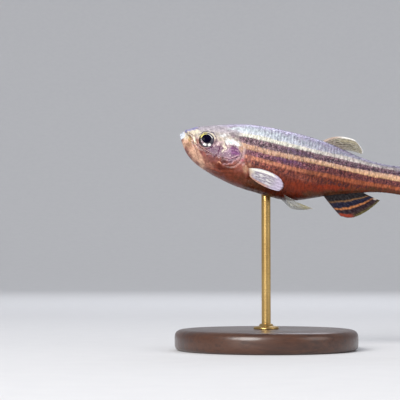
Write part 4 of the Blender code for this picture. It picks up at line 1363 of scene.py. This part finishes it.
def scale_roots():
    """The places along the body and round it, and the sizes, of the scales of one side."""
    spots = scale_columns()
    x, arc = spots[:, 0], spots[:, 1]
    turn = turn_at(x, arc)
    share, z = turn / np.pi, form(x, turn)[:, 2]
    starts = 7.9 + 2.1 * after(share, 0.26, 0.10) + 0.5 * after(share, 0.62, 0.06)
    starts = starts - 1.0 * after(share, 0.80, 0.08)
    keep = (x > starts) & (share > 0.018) & (share < 0.982) & (cover_share(x, z) > 1.22)
    keep &= np.hypot((x - 10.7) / 0.7, (z + 4.2) / 0.9) > 1
    limit = np.where(arc < 0, -arc_at(x, 0 * x), arc_at(x, 0 * x + np.pi))
    keep &= np.abs(arc) < limit - 0.12
    return spots[keep]


roots = scale_roots()
print(len(roots), "scales a side")

# %% The shape of one scale
SCALE_ROWS, SCALE_COLUMNS = 11, 8
SCALE_POINTS = SCALE_ROWS * SCALE_COLUMNS
FRONT_TO_REAR = np.linspace(-1, 1, SCALE_ROWS)
U, V = np.meshgrid(FRONT_TO_REAR, np.linspace(-1, 1, SCALE_COLUMNS), indexing="ij")
SCALE_OUTLINE = np.clip(1 - np.abs(U) ** 2.4, 0, 1) ** 0.5
HALF_LONG, HALF_WIDE = 0.80, 0.78
FROM_MIDDLE = np.hypot(U, V * SCALE_OUTLINE)
REAR_EDGE = after(FROM_MIDDLE, 0.74, 0.24) * (U > -0.2)
FROM_ROOT = np.hypot(U + 0.35, V * SCALE_OUTLINE)
SCALE_THICK = 0.016 * (SCALE_OUTLINE * np.sqrt(np.clip(1 - V**4, 0, 1))) * before(U, 1, 0.25)
SCALE_RIPPLE = 0.012 * np.cos(V * 9) * after(U, 0.2, 0.5)
SCALE_CROWN = 0.035 * V**2 * (1 - 0.4 * (U > 0))


def each(values):
    """One number for every scale, shaped to meet the grid of its points."""
    return values[:, None, None]


def twice(values):
    """Values of the points of every scale, for its upper layer and again for the lower one."""
    values = np.broadcast_to(values, (len(roots), SCALE_ROWS, SCALE_COLUMNS))
    return np.concatenate([values.reshape(len(roots), -1)] * 2, 1).ravel()


def scale_faces():
    """The faces of one closed scale: its two layers and the band between their edges."""
    faces = grid_faces(SCALE_ROWS, SCALE_COLUMNS)
    rim = border(np.arange(SCALE_POINTS).reshape(SCALE_ROWS, SCALE_COLUMNS))
    following = np.roll(rim, -1)
    band = np.stack([rim, rim + SCALE_POINTS, following + SCALE_POINTS, following], -1)
    return np.concatenate([faces, faces[:, ::-1] + SCALE_POINTS, band])


print("a scale has", 2 * len(scale_faces()), "triangles")


# %% Scales of both sides
def scale_coat(side, seed):
    """All the scales of one side, each a little different, as one joined mesh."""
    draw = np.random.default_rng(seed)
    n = len(roots)
    size = each(roots[:, 2] * (1 + 0.05 * draw.standard_normal(n)))
    tilt = each(0.05 * draw.standard_normal(n))
    lean = each(0.009 * draw.standard_normal(n))
    along, across = U * HALF_LONG * size, V * SCALE_OUTLINE * HALF_WIDE * size
    x = np.clip(each(roots[:, 0]) + along * np.cos(tilt) - across * np.sin(tilt), 0, 34.1)
    turn = turn_at(x, each(roots[:, 1]) + along * np.sin(tilt) + across * np.cos(tilt))
    lift = -0.058 + 0.060 * (U + 1) / 2 + lean * U - SCALE_CROWN + SCALE_RIPPLE
    small = 0.02
    here = form(x, turn)
    outward = outwards(form(x, turn + small) - here, form(x + small, turn) - here, here, -1.0)
    points = np.stack([here + outward * (lift + off)[..., None] for off in (SCALE_THICK, -SCALE_THICK)], 1)
    points[..., 1] *= np.sqrt(np.clip(1 - (np.clip(x - 32.5, 0, None) / 1.6) ** 2, 0.05, 1))[:, None]
    points[..., 1] *= -side
    faces = scale_faces()[:, :: -side]
    all_faces = (faces[None] + each(np.arange(n) * 2 * SCALE_POINTS)).reshape(-1, 4)
    marks = skin_marks(twice(x), -side * twice(turn))
    marks["shade"] = np.repeat(0.05 * draw.standard_normal(n), 2 * SCALE_POINTS)
    marks["silver"] = np.clip(marks["silver"] + 0.5 * marks["shade"], 0, 1)
    marks |= {"ring": twice(FROM_ROOT), "edge": twice(REAR_EDGE)}
    round_body = turn_at(roots[:, 0], roots[:, 1]) / (2 * np.pi)
    patch = np.stack([roots[:, 0] / FLAT_LENGTH, round_body if side < 0 else 1 - round_body], -1)
    unwrap = np.repeat(patch, 2 * SCALE_POINTS, axis=0) + 0.0015 * np.stack([twice(U), twice(V)], -1)
    return piece(f"scales_{SIDES[side]}", posed(points), all_faces, SCALE, marks, unwrap)


SCALE = fish_finish("clear_scales", gloss=0.30)
SEEDS = {-1: 11, 1: 23}
for side, seed in SEEDS.items():
    scale_coat(side, seed)

# %% [markdown]
# ## Fins
#
# A fin is a web of skin, far thinner than paper, stretched over bony rays. Each ray is a row of
# tiny joints that forks once or twice on its way to the edge. A flat card with a see-through
# picture is the usual shortcut. Here the web is a closed sheet, a few hundredths of a millimetre
# thick, whose surface swells over each forking ray, because then the light finds the rays, and
# the edge between them is cut in, as on the living fish.

# %% Rays of a fin
JOINT = 0.28


def ray_pattern(r, t, rays, plain):
    """How much ray there is at r across the fin and t along it, from 0 on the web to 1."""
    cell = np.floor(np.clip(r, 0, 0.99999) * rays)
    from_middle = r * rays - cell - 0.5
    forked = 1 - np.isin(cell, plain)
    first = 0.23 * after(t, 0.42, 0.45) * forked
    second = 0.11 * after(t, 0.70, 0.3) * forked
    width = 0.15 - 0.07 * after(t, 0.42, 0.4) * forked - 0.02 * t
    branches = [bump(from_middle - a * first - b * second, width) for a in (-1, 1) for b in (-1, 1)]
    return np.maximum.reduce(branches)


def half_thickness(s, t, reach, bones, web, ray):
    """A thin web, rays jointed and thinner to their tips, a fine edge and a thick root."""
    joints = 1 - 0.25 * after(np.cos(t * reach * 2 * np.pi / JOINT), 0.7, 0.3) * after(t, 0.2, 0.1)
    taper = (1 - 0.72 * np.clip(t, 0, 1)) * (0.3 + 0.7 * smooth(t * 6))
    half = web * (1 - 0.6 * after(s, 0.85, 0.15)) + ray * bones * joints * taper
    return half * (1 - 0.85 * after(s, 0.97, 0.03)) + 0.10 * smooth(-t * 4)


def sheet_faces(wide, tall):
    """The faces of a thin closed sheet: its two layers and the band round its border."""
    faces, other = grid_faces(wide, tall), wide * tall
    rim = border(np.arange(other).reshape(wide, tall).T)
    following = np.roll(rim, -1)
    band = np.stack([rim, following, following + other, rim + other], -1)
    return np.concatenate([faces[:, ::-1], faces + other, band])


print("rays in joints of", JOINT, "mm")


# %% Building one fin
def make_fin(
    name, node, placing, rays, paint, finish, slot,
    ripple=0.03, sunk=0.75, plain=(0,), ray=0.06, notch=0.055, rows=84, cells=12,
):
    """One fin as a closed sheet. Its places are given by r across it and t along its rays."""
    place, length = placing
    web, small = 0.02, 0.004
    columns = np.arange(rays * cells + 1) / (rays * cells)
    r, s = np.meshgrid(columns, np.linspace(0, 1, rows + 1), indexing="ij")
    start = -sunk / length(r)
    cut_in = notch * (1 - ray_pattern(r, np.ones_like(r), rays, plain))
    t = start + (1 - cut_in - start) * s
    middle = place(r, t)
    across = place(np.clip(r + small, 0, 1), t) - place(np.clip(r - small, 0, 1), t)
    out = unit(np.cross(across, place(r, t + small) - place(r, t - small)))
    bones = np.maximum(ray_pattern(r, np.clip(t, 0, 1), rays, plain), bump(r - 0.01, 0.012))
    half = half_thickness(s, t, length(r), bones, web, ray)
    wave = ripple * np.sin(r * rays * np.pi + 1.0) * smooth(t * 1.5)
    wave = wave + ripple * 1.5 * np.sin(t * 5 + r * 4) * smooth(t)
    layers = [middle + out * (half + wave)[..., None], middle - out * (half - wave)[..., None]]
    colour, cover = paint(r, np.clip(t, 0, 1), bones)
    tint = np.concatenate([colour, np.clip(cover, 0, 1)[..., None]], -1).reshape(-1, 4)
    local = np.stack([r * rays * 0.35, t * length(r), np.zeros_like(t)], -1).reshape(-1, 3)
    marks = {"tint": np.tile(tint, (2, 1)), "place": np.tile(local, (2, 1))}
    points = posed(np.concatenate([layer.reshape(-1, 3) for layer in layers]))
    return piece(name, points, sheet_faces(*r.shape), finish, marks, None, (node,))


def fin_finish(name, bleach, thin, coat=0.25, roughness=0.3, gloss=0.3):
    """A see-through web with darker and paler streaks along its rays."""
    f = Finish(name)
    streak = f.noise(f.drawn(f.mark("place", "Vector"), (4.0, 1.0, 1.0)), 2.4, 3.0, 0.6)
    darker = f.span(streak, 0.38, 0.68, 0.0, 0.45)
    colour = f.mix(darker, f.mark("tint", "Color"), tone(60, 48, 60), "MULTIPLY")
    colour = f.mix(f.span(streak, 0.60, 0.32, 0.0, bleach), colour, tone(250, 246, 240), "SCREEN")
    cover = f.times(f.mark("tint", "Alpha"), f.span(streak, 0.3, 0.7, thin, 1.1), clamp=True)
    f.surface({"Base Color": colour, "Alpha": cover, "Specular IOR Level": gloss})
    f.surface({"Roughness": f.span(streak, 0.3, 0.7, roughness, roughness + 0.12)})
    f.surface({"Coat Weight": coat, "Coat Roughness": 0.15})
    f.dent(streak, 0.3, 0.00004)
    f.material.surface_render_method = "BLENDED"
    return f.material


CLEAR_WEB = fin_finish("clear_web", bleach=0.18, thin=0.85)
STRIPED_WEB = fin_finish("striped_web", bleach=0.02, thin=1.0, coat=0.02, roughness=0.5, gloss=0.06)
print("two finishes for fins")


# %% Placing and painting a fin
def median_place(start, end, slopes, lengths, curls, above):
    """Rays on the midline: how steep each leaves the body, how long it is and how it curls."""
    knots = np.linspace(0, 1, len(slopes))
    slope, length, curl = (smooth_curve(knots, values) for values in (slopes, lengths, curls))

    def place(r, t):
        x = start + (end - start) * r
        back, belly, *_ = girth(x)
        lean = np.radians(slope(r) + curl(r) * t)
        root = back + GAP if above else belly - GAP
        reach = length(r) * t
        return np.stack([x + np.cos(lean) * reach, np.zeros_like(x), root + np.sin(lean) * reach], -1)

    return place, length


def coats_of(ground, hides, layers):
    """Lays named coats over a ground: each is a colour, how far it hides, and where it goes."""
    shape = next(iter(layers.values()))[-1].shape
    colour = np.zeros((*shape, 3)) + np.array(tone(*ground)[:3])
    cover = np.full(shape, hides)
    for paint, layer_hides, mask in layers.values():
        colour = mixed(colour, paint, mask)
        cover = cover + (layer_hides - cover) * mask
    return colour, cover


def band(value, low, high, soft=0.04):
    """1 between low and high, with soft edges."""
    return after(value, low - soft / 2, soft) * before(value, high + soft / 2, soft)


print("fin helpers ready")


# %% Dorsal fin
def dorsal_paint(r, t, bones):
    """Olive and see-through, dusky in the middle, with a white front edge."""
    front = before(r, 0.17, 0.08) * after(t, 0.30, 0.35)
    return coats_of((116, 106, 76), 0.54, {
        "brown root": ((112, 92, 84), 0.75, before(t, 0.35, 0.3) * 0.8),
        "dusky middle": ((66, 54, 44), 0.85, bump(r - 0.52, 0.13) * band(t, 0.05, 0.62, 0.3) * 0.85),
        "yellow streak": ((164, 148, 104), 0.65, bump(r - 0.30, 0.09) * band(t, 0.30, 0.92, 0.3) * 0.7),
        "dusky streak": ((84, 74, 58), 0.75, bump(r - 0.72, 0.07) * band(t, 0.20, 0.75, 0.3) * 0.7),
        "clear rear": ((150, 150, 140), 0.55, after(r, 0.80, 0.15) * 0.6),
        "rays": ((206, 196, 168), 0.85, bones * 0.45),
        "pink front": ((204, 180, 162), 0.92, before(r, 0.16, 0.10)),
        "white front": ((255, 253, 246), 1.0, front),
        # painted highlight along the upper edge of the fin
        "white top highlight": ((246, 246, 250), 0.97, after(t, 0.925, 0.03) * (1 - after(r, 0.72, 0.2))),
    })


dorsal_placing = median_place(
    20.4, 24.1, (41, 32, 15, 0), (4.65, 3.97, 3.36, 1.9), (-30, -24, -16, -6), above=True,
)
make_fin("dorsal_web", "fin_dorsal", dorsal_placing, 8, dorsal_paint, CLEAR_WEB, "clear_fin", ripple=0.02)


# %% Anal fin
def anal_paint(r, t, bones):
    """Blue-black bands between gold ones, with a red corner and an olive edge."""
    edge = t + 0.05 * flecks(r * 12, t * 3, 0.8, 12) - 0.02
    first_gold = band(edge, 0.225, 0.30, 0.07) * (0.55 + 0.45 * after(r, 0.2, 0.3))
    second_gold = band(edge, 0.54, 0.63, 0.07) * (1 - 0.5 * after(r, 0.7, 0.2))
    return coats_of((54, 38, 34), 0.97, {
        "black root": ((18, 14, 18), 1.0, band(edge, -0.1, 0.22, 0.06)),
        "first gold": ((118, 84, 52), 0.97, first_gold),
        "blue band": ((14, 14, 40), 1.0, band(edge, 0.30, 0.53, 0.06)),
        "second gold": ((168, 104, 60), 0.97, second_gold),
        "violet band": ((36, 18, 28), 0.99, band(edge, 0.64, 0.81, 0.06)),
        "red corner": ((146, 54, 34), 0.92, band(edge, 0.83, 0.97, 0.05) * (1 - after(r, 0.28, 0.16))),
        "olive edge": ((92, 84, 40), 0.80, after(edge, 0.88, 0.06) * after(r, 0.36, 0.12)),
        "white tip": ((196, 186, 176), 0.93, band(edge, 0.60, 0.76, 0.1) * after(r, 0.93, 0.04)),
        "rays": ((24, 16, 24), 1.0, bones * 0.35),
        "front edge": ((54, 36, 34), 0.98, bump(r, 0.03) * 0.6),
    })


anal_placing = median_place(
    21.95, 27.6, (-43, -51, -41, -17), (3.6, 3.8, 3.2, 2.2), (2, 2, 2, 2), above=False,
)
make_fin(
    "anal_web", "fin_anal", anal_placing, 12, anal_paint, STRIPED_WEB, "striped_fin",
    ray=0.03, notch=0.03,
)

# %% Tail fin
TAIL_DARK = (
    (0.115, 0.235, 0.80), (0.30, 0.415, 0.93), (0.475, 0.575, 1.0),
    (0.635, 0.755, 0.97), (0.815, 0.895, 0.80),
)
TAIL_PALE = ((0.24, 0.30), (0.42, 0.47), (0.58, 0.63), (0.76, 0.81))
TAIL_SLOPES = (27, 24, 12, 0, -12, -24, -28)
TAIL_LENGTHS = (6.6, 9.0, 7.3, 6.1, 7.1, 8.5, 6.2)


def tail_paint(r, t, bones):
    """The flank's stripes run on over the fin, dark and pale by turns."""
    dark = sum(band(r, low, high, 0.03) * before(t, reach, 0.2) for low, high, reach in TAIL_DARK)
    pale = sum(band(r, low, high, 0.03) for low, high in TAIL_PALE)
    return coats_of((150, 146, 118), 0.50, {
        "dark stripes": ((34, 22, 44), 0.93, np.clip(dark, 0, 1)),
        "pale stripes": ((206, 200, 222), 0.88, np.clip(pale, 0, 1) * band(t, 0.0, 0.92, 0.1)),
        "gold root": ((222, 176, 134), 0.95, before(t, 0.12, 0.12) * 0.8 * np.clip(pale + 0.3, 0, 1)),
        "rays": ((214, 208, 214), 0.85, bones * 0.22),
        "outer edges": ((186, 182, 168), 0.80, (bump(r, 0.02) + bump(r - 1, 0.02)) * 0.8),
    })


tail_knots = np.linspace(0, 1, len(TAIL_SLOPES))
tail_slope, tail_length = smooth_curve(tail_knots, TAIL_SLOPES), smooth_curve(tail_knots, TAIL_LENGTHS)
tail_back, tail_belly, *_ = girth(BODY_LENGTH)


def tail_place(r, t):
    """Rays that spread from the end of the stalk, from the upper lobe to the lower one."""
    lean = np.radians(tail_slope(r))
    reach = tail_length(r) * t
    height = tail_back + (tail_belly - tail_back) * (0.04 + 0.92 * r)
    x, z = BODY_LENGTH + GAP + np.cos(lean) * reach, height + np.sin(lean) * reach
    return np.stack([x, np.zeros_like(r), z], -1)


make_fin(
    "tail_web", "fin_tail", (tail_place, tail_length), 18, tail_paint, STRIPED_WEB, "striped_fin",
    ripple=0.04, sunk=1.0, plain=(0, 1, 16, 17), ray=0.045, rows=100, cells=10,
)


# %% Paints of the pectoral and pelvic fins
def pectoral_paint(r, t, bones):
    """Milky, with a freckled middle, a pale front edge and a warm root; the white flecks and the front edge
    are partly painted highlights.
    """
    middle = band(r, 0.24, 0.82, 0.15) * band(t, 0.16, 0.70, 0.2)
    shadow = band(r, 0.24, 0.80, 0.2) * band(t, 0.14, 0.70, 0.25)
    dark_flecks = middle * after(flecks(r * 14 + t * 6, t * 30, 0.8, 13), 0.46, 0.25)
    white_glint_flecks = middle * after(flecks(r * 16, t * 9, 0.8, 14), 0.50, 0.3)
    return coats_of((178, 168, 190), 0.78, {
        "shadow": ((146, 138, 150), 0.88, shadow * 0.7),
        "dark flecks": ((74, 62, 72), 0.90, dark_flecks * 0.62),
        # the white flecks are partly painted glints
        "white flecks and glints": ((236, 234, 230), 0.96, white_glint_flecks * 0.65),
        "tan rear": ((182, 122, 84), 0.90, after(r, 0.80, 0.14) * before(t, 0.78, 0.3) * 0.9),
        "cream root": ((236, 230, 206), 0.96, before(t, 0.26, 0.18) * before(r, 0.62, 0.3) * 0.95),
        # the pale front edge is partly a painted highlight
        "white front": ((240, 240, 230), 0.96, band(r, 0.03, 0.22, 0.06) * before(t, 0.92, 0.2)),
        "violet line": ((150, 132, 150), 0.88, bump(r - 0.27, 0.035) * band(t, 0.25, 0.85, 0.2) * 0.7),
        "violet end": ((198, 184, 212), 0.84, after(t, 0.70, 0.16) * 0.8),
        "rays": ((226, 222, 230), 0.92, bones * 0.24 * (0.3 + 0.7 * after(t, 0.55, 0.2))),
        "warm root": ((206, 176, 150), 0.95, before(t, 0.18, 0.15) * 0.9),
        "fading root": ((186, 138, 116), 0.20, before(t, 0.085, 0.08)),
    })


def pelvic_paint(r, t, bones):
    """Nearly clear, with an olive end and a white front edge."""
    return coats_of((146, 146, 140), 0.42, {
        "olive end": ((150, 140, 84), 0.62, after(t, 0.35, 0.3) * after(r, 0.45, 0.25) * 0.9),
        "white front": ((196, 196, 190), 0.70, before(r, 0.20, 0.14) * after(t, 0.25, 0.3) * 0.8),
        "rays": ((196, 186, 140), 0.70, bones * 0.4 * after(t, 0.3, 0.3)),
        "white edge": ((206, 204, 196), 0.75, after(t, 0.88, 0.06) * after(r, 0.6, 0.2) * 0.8),
    })


print("paints for paired fins ready")


# %% Pectoral and pelvic fins
def paired_place(fin):
    """Rays that leave the flank: how far each drops, curls and splays, and how long it is."""
    knots = np.linspace(0, 1, len(fin.drops))
    values = (fin.drops, fin.curls, fin.splays, fin.lengths)
    drop, curl, splay, length = (smooth_curve(knots, numbers) for numbers in values)
    (x0, z0), (x1, z1) = fin.roots

    def place(r, t):
        x, z = x0 + (x1 - x0) * r, z0 + (z1 - z0) * r
        down, out = np.radians(drop(r) + curl(r) * t), np.radians(splay(r))
        ahead = [np.cos(down) * np.cos(out), fin.side * np.cos(down) * np.sin(out), -np.sin(down)]
        reach = length(r) * t
        rise = 0.12 + (GAP + 0.03) * smooth(reach / 1.6) + 0.7 * np.clip(reach, None, 0)
        return on_flank(x, z, rise, fin.side) + np.stack(ahead, -1) * reach[..., None]

    return place, length


Paired = namedtuple("Paired", "name side drops curls splays roots lengths rays paint")
PECTORAL = (((10.35, -3.85), (10.80, -4.70)), (5.7, 6.15, 6.05, 5.4), 10, pectoral_paint)
PELVIC = (((16.20, -6.03), (16.80, -6.08)), (1.7, 2.75, 3.4, 3.9), 7, pelvic_paint)
PAIRED = (
    Paired("pectoral_left", -1, (-4, 9, 23, 37), (20, 9, -3, -15), (30, 28, 26, 24), *PECTORAL),
    Paired("pectoral_right", 1, (-16, -9, 0, 9), (12, 7, 0, -7), (12, 11, 10, 9), *PECTORAL),
    Paired("pelvic_left", -1, (54, 34, 20, 11), (-10, -8, -4, 0), (16, 12, 8, 4), *PELVIC),
    Paired("pelvic_right", 1, (24, 11, 2, -4), (-8, -4, 0, 2), (10, 8, 6, 4), *PELVIC),
)
for fin in PAIRED:
    names, placing = (f"{fin.name}_web", f"fin_{fin.name}"), paired_place(fin)
    make_fin(*names, placing, fin.rays, fin.paint, CLEAR_WEB, "clear_fin", sunk=0.7, rows=72)

# %% [markdown]
# ## The stand
#
# A museum stand should be quiet: a turned disc of dark wood with a soft edge and one brass rod
# up to the belly. Both are round, so both are turned on the lathe from a drawn profile, with a
# small collar where the rod enters the wood. The wood's grain is a noise drawn out along one
# direction, and the brass has the fine rings that a file and polish leave.

# %% Turning on the lathe
def revolve(radii, heights, steps):
    """Rings of points round the upright axis."""
    k = np.linspace(0, 2 * np.pi, steps, endpoint=False)
    radii, heights = np.asarray(radii)[:, None], np.asarray(heights)[:, None]
    upright = np.broadcast_to(heights, (len(radii), steps))
    return np.stack([radii * np.cos(k), radii * np.sin(k), upright], -1)


def turned(name, profile, finish, slot, nodes, steps, cut=None):
    """A round piece from the radii and heights of its profile, closed at both ends."""
    points = revolve(*np.array(profile, float).T, steps)
    if cut is not None:
        points = cut(points)
    last = (len(profile) - 1) * steps
    faces = [*grid_faces(len(profile), steps, wrap=True), range(steps)[::-1], range(last, last + steps)]
    return piece(name, points.reshape(-1, 3) * MM, faces, finish, None, None, nodes)


print("lathe ready")


# %% Wood and brass
def wood_finish():
    f = Finish("dark_walnut")
    where = f.add("TexCoord").outputs["Object"]
    grain_turn = (0.0, 0.06, 0.3)
    grain = f.noise(f.drawn(where, (130.0, 1500.0, 1500.0), grain_turn), 1.0, 6.0, 0.66, 0.3)
    cloud = f.noise(f.drawn(where, (60.0, 260.0, 260.0), grain_turn), 1.0, 3.0, 0.5, 0.8)
    figure = f.ramp(f.plus(f.times(grain, 0.62), f.times(cloud, 0.38)), (
        (0.32, tone(38, 22, 15)),
        (0.46, tone(62, 36, 24)),
        (0.56, tone(78, 47, 31)),
        (0.70, tone(52, 30, 20)),
    ))
    f.surface({"Base Color": figure, "Roughness": f.span(grain, 0.3, 0.7, 0.28, 0.44)})
    f.surface({"Coat Weight": 0.35, "Coat Roughness": 0.18})
    f.dent(grain, 0.25, 0.0001)
    return f.material


def brass_finish():
    f = Finish("brushed_brass")
    where = f.add("TexCoord").outputs["Object"]
    rings = f.noise(f.drawn(where, (160.0, 160.0, 7200.0)), 1.0, 3.0)
    dull = f.noise(where, 160.0)
    colour = f.mix(f.span(dull, 0.35, 0.75), tone(204, 170, 108), tone(184, 148, 90))
    f.surface({"Base Color": colour, "Metallic": 1.0, "Roughness": f.span(rings, 0.3, 0.7, 0.26, 0.34)})
    f.dent(rings, 0.02, 0.00001)
    return f.material


WOOD, BRASS = wood_finish(), brass_finish()
print("finishes", WOOD.name, "and", BRASS.name)

# %% Base, rod and collar
BASE_RADIUS, BASE_HEIGHT, ROD_RADIUS, COLLAR_RADIUS = 13.0, 3.0, 0.65, 1.80
# how far each point of the base's edge is in from its radius, and how high, from the underside up
FOOT = [(0.8, 0.0), (0.4, 0.08), (0.15, 0.3), (0.03, 0.6), (0.0, 1.0)]
SHOULDER = [(0.0, 1.9), (0.06, 2.3), (0.25, 2.62), (0.55, 2.82), (0.9, 2.93), (1.4, 2.985)]
TOP_GROOVE = [(2.0, BASE_HEIGHT), (2.1, 2.97), (2.2, BASE_HEIGHT), (7.0, BASE_HEIGHT), (12.0, BASE_HEIGHT)]
base_profile = [(BASE_RADIUS - inset, height) for inset, height in FOOT + SHOULDER + TOP_GROOVE]
turned("base_disc", base_profile, WOOD, "stand_wood", ("stand_base",), steps=160)


def to_belly(points):
    """Ends the rod against the skin of the belly, a hair inside it."""
    x = np.linspace(8, 20, 241)
    under = np.linspace(0.75 * np.pi, 1.25 * np.pi, 161)
    belly = posed(form(x[:, None], under[None], -0.05)).reshape(-1, 3) / MM
    for row, below in ((-1, 0.0), (-2, 0.12)):
        for point in points[row]:
            near = np.argmin(np.hypot(belly[:, 0] - point[0], belly[:, 1] - point[1]))
            point[2] = belly[near, 2] - below
    return points


ROD_HEIGHTS = [2.9, 3.5, *np.linspace(4, 21, 35), 21.5]
rod_profile = [(ROD_RADIUS, height) for height in ROD_HEIGHTS] + [(ROD_RADIUS - 0.03, BELLY_HEIGHT)]
turned("brass_rod", rod_profile, BRASS, "stand_metal", ("stand_rod",), steps=48, cut=to_belly)


def rounded(r0, z0, r1, z1, steps=8):
    """A quarter round between two points of a profile."""
    k = np.linspace(0, np.pi / 2, steps)
    return [(r0 + (r1 - r0) * (1 - np.cos(a)), z0 + (z1 - z0) * np.sin(a)) for a in k]


collar_profile = [(COLLAR_RADIUS - 0.05, 2.98), (COLLAR_RADIUS, 3.06), (COLLAR_RADIUS, 3.22)]
collar_profile += rounded(COLLAR_RADIUS, 3.22, 1.15, 3.42)
collar_profile += [(1.02, 3.46), (0.98, 3.60), (0.86, 3.72), (0.66, 3.76)]
turned("rod_collar", collar_profile, BRASS, "stand_metal", (), steps=64)

# %% [markdown]
# ## Floor and light
#
# The model stands in a plain pale sweep, flat where it stands and curving up far behind, so that
# no line cuts the picture. A large soft light high in front and to the left is the sun of this
# small studio, and it picks out the pale back. A second, cooler one behind the fish draws the edge
# of its back and shines through the fins, a dim one from the right fills the shadows, and the
# last lights the sweep behind.

# %% The sweep
FLAT_RADIUS, WALL_HEIGHT, SPOKES = 700.0, 700.0, 96


def sweep_finish():
    f = Finish("pale_paper")
    fibre = f.noise(f.add("TexCoord").outputs["Object"], 240.0, 4.0)
    colour = f.mix(fibre, tone(226, 226, 228), tone(232, 232, 233))
    f.surface({"Base Color": colour, "Roughness": 0.9, "Specular IOR Level": 0.1})
    return f.material


flat = np.linspace(0, FLAT_RADIUS, 15)[1:]
curve = np.linspace(0, np.pi / 2, 25)[1:]
radii = np.concatenate([flat, FLAT_RADIUS + WALL_HEIGHT * np.sin(curve)])
heights = np.concatenate([0 * flat, WALL_HEIGHT - WALL_HEIGHT * np.cos(curve)])
bowl = revolve(radii, heights, SPOKES).reshape(-1, 3)
quads = grid_faces(len(radii), SPOKES, wrap=True)[:, ::-1].tolist()
mesh = bpy.data.meshes.new("sweep")
mesh.from_pydata((np.concatenate([bowl, [[0, 0, 0]]]) * MM).tolist(), [], quads + fan(len(bowl), 0, SPOKES))
mesh.materials.append(sweep_finish())
mesh.shade_smooth()
floor = bpy.data.objects.new("sweep", mesh)
bpy.context.scene.collection.objects.link(floor)
print("sweep", radii[-1] * 2 * MM, "m across")

# %% Lights and surroundings
Lamp = namedtuple("Lamp", "name place aim width watts colour")
FISH_MIDDLE = (0, 0, 0.022)
LAMPS = (
    Lamp("key", (-0.26, -0.48, 0.29), FISH_MIDDLE, 0.36, 4.2, (1.0, 0.985, 0.96)),
    Lamp("rim", (0.10, 0.34, 0.40), FISH_MIDDLE, 0.26, 0.5, (0.86, 0.90, 1.0)),
    Lamp("fill", (0.42, -0.22, 0.20), FISH_MIDDLE, 0.30, 0.5, (1.0, 0.96, 0.92)),
    Lamp("backdrop", (0.0, 0.30, 0.50), (0.0, 1.30, 0.20), 0.60, 0.9, (1.0, 1.0, 1.0)),
)
ROOM_COLOUR, ROOM_STRENGTH = (0.90, 0.93, 1.0, 1.0), 0.40

for lamp in LAMPS:
    light = bpy.data.lights.new(lamp.name, "AREA")
    light.shape, light.size = "DISK", lamp.width
    light.energy, light.color = lamp.watts, lamp.colour
    obj = bpy.data.objects.new(lamp.name, light)
    obj.visible_camera = False
    place_facing(obj, Vector(lamp.place), Vector(lamp.aim))

world = bpy.data.worlds.new("room")
world.use_nodes = True
background = world.node_tree.nodes["Background"]
background.inputs["Color"].default_value = ROOM_COLOUR
background.inputs["Strength"].default_value = ROOM_STRENGTH
bpy.context.scene.world = world
print(len(LAMPS), "lights and a soft room")
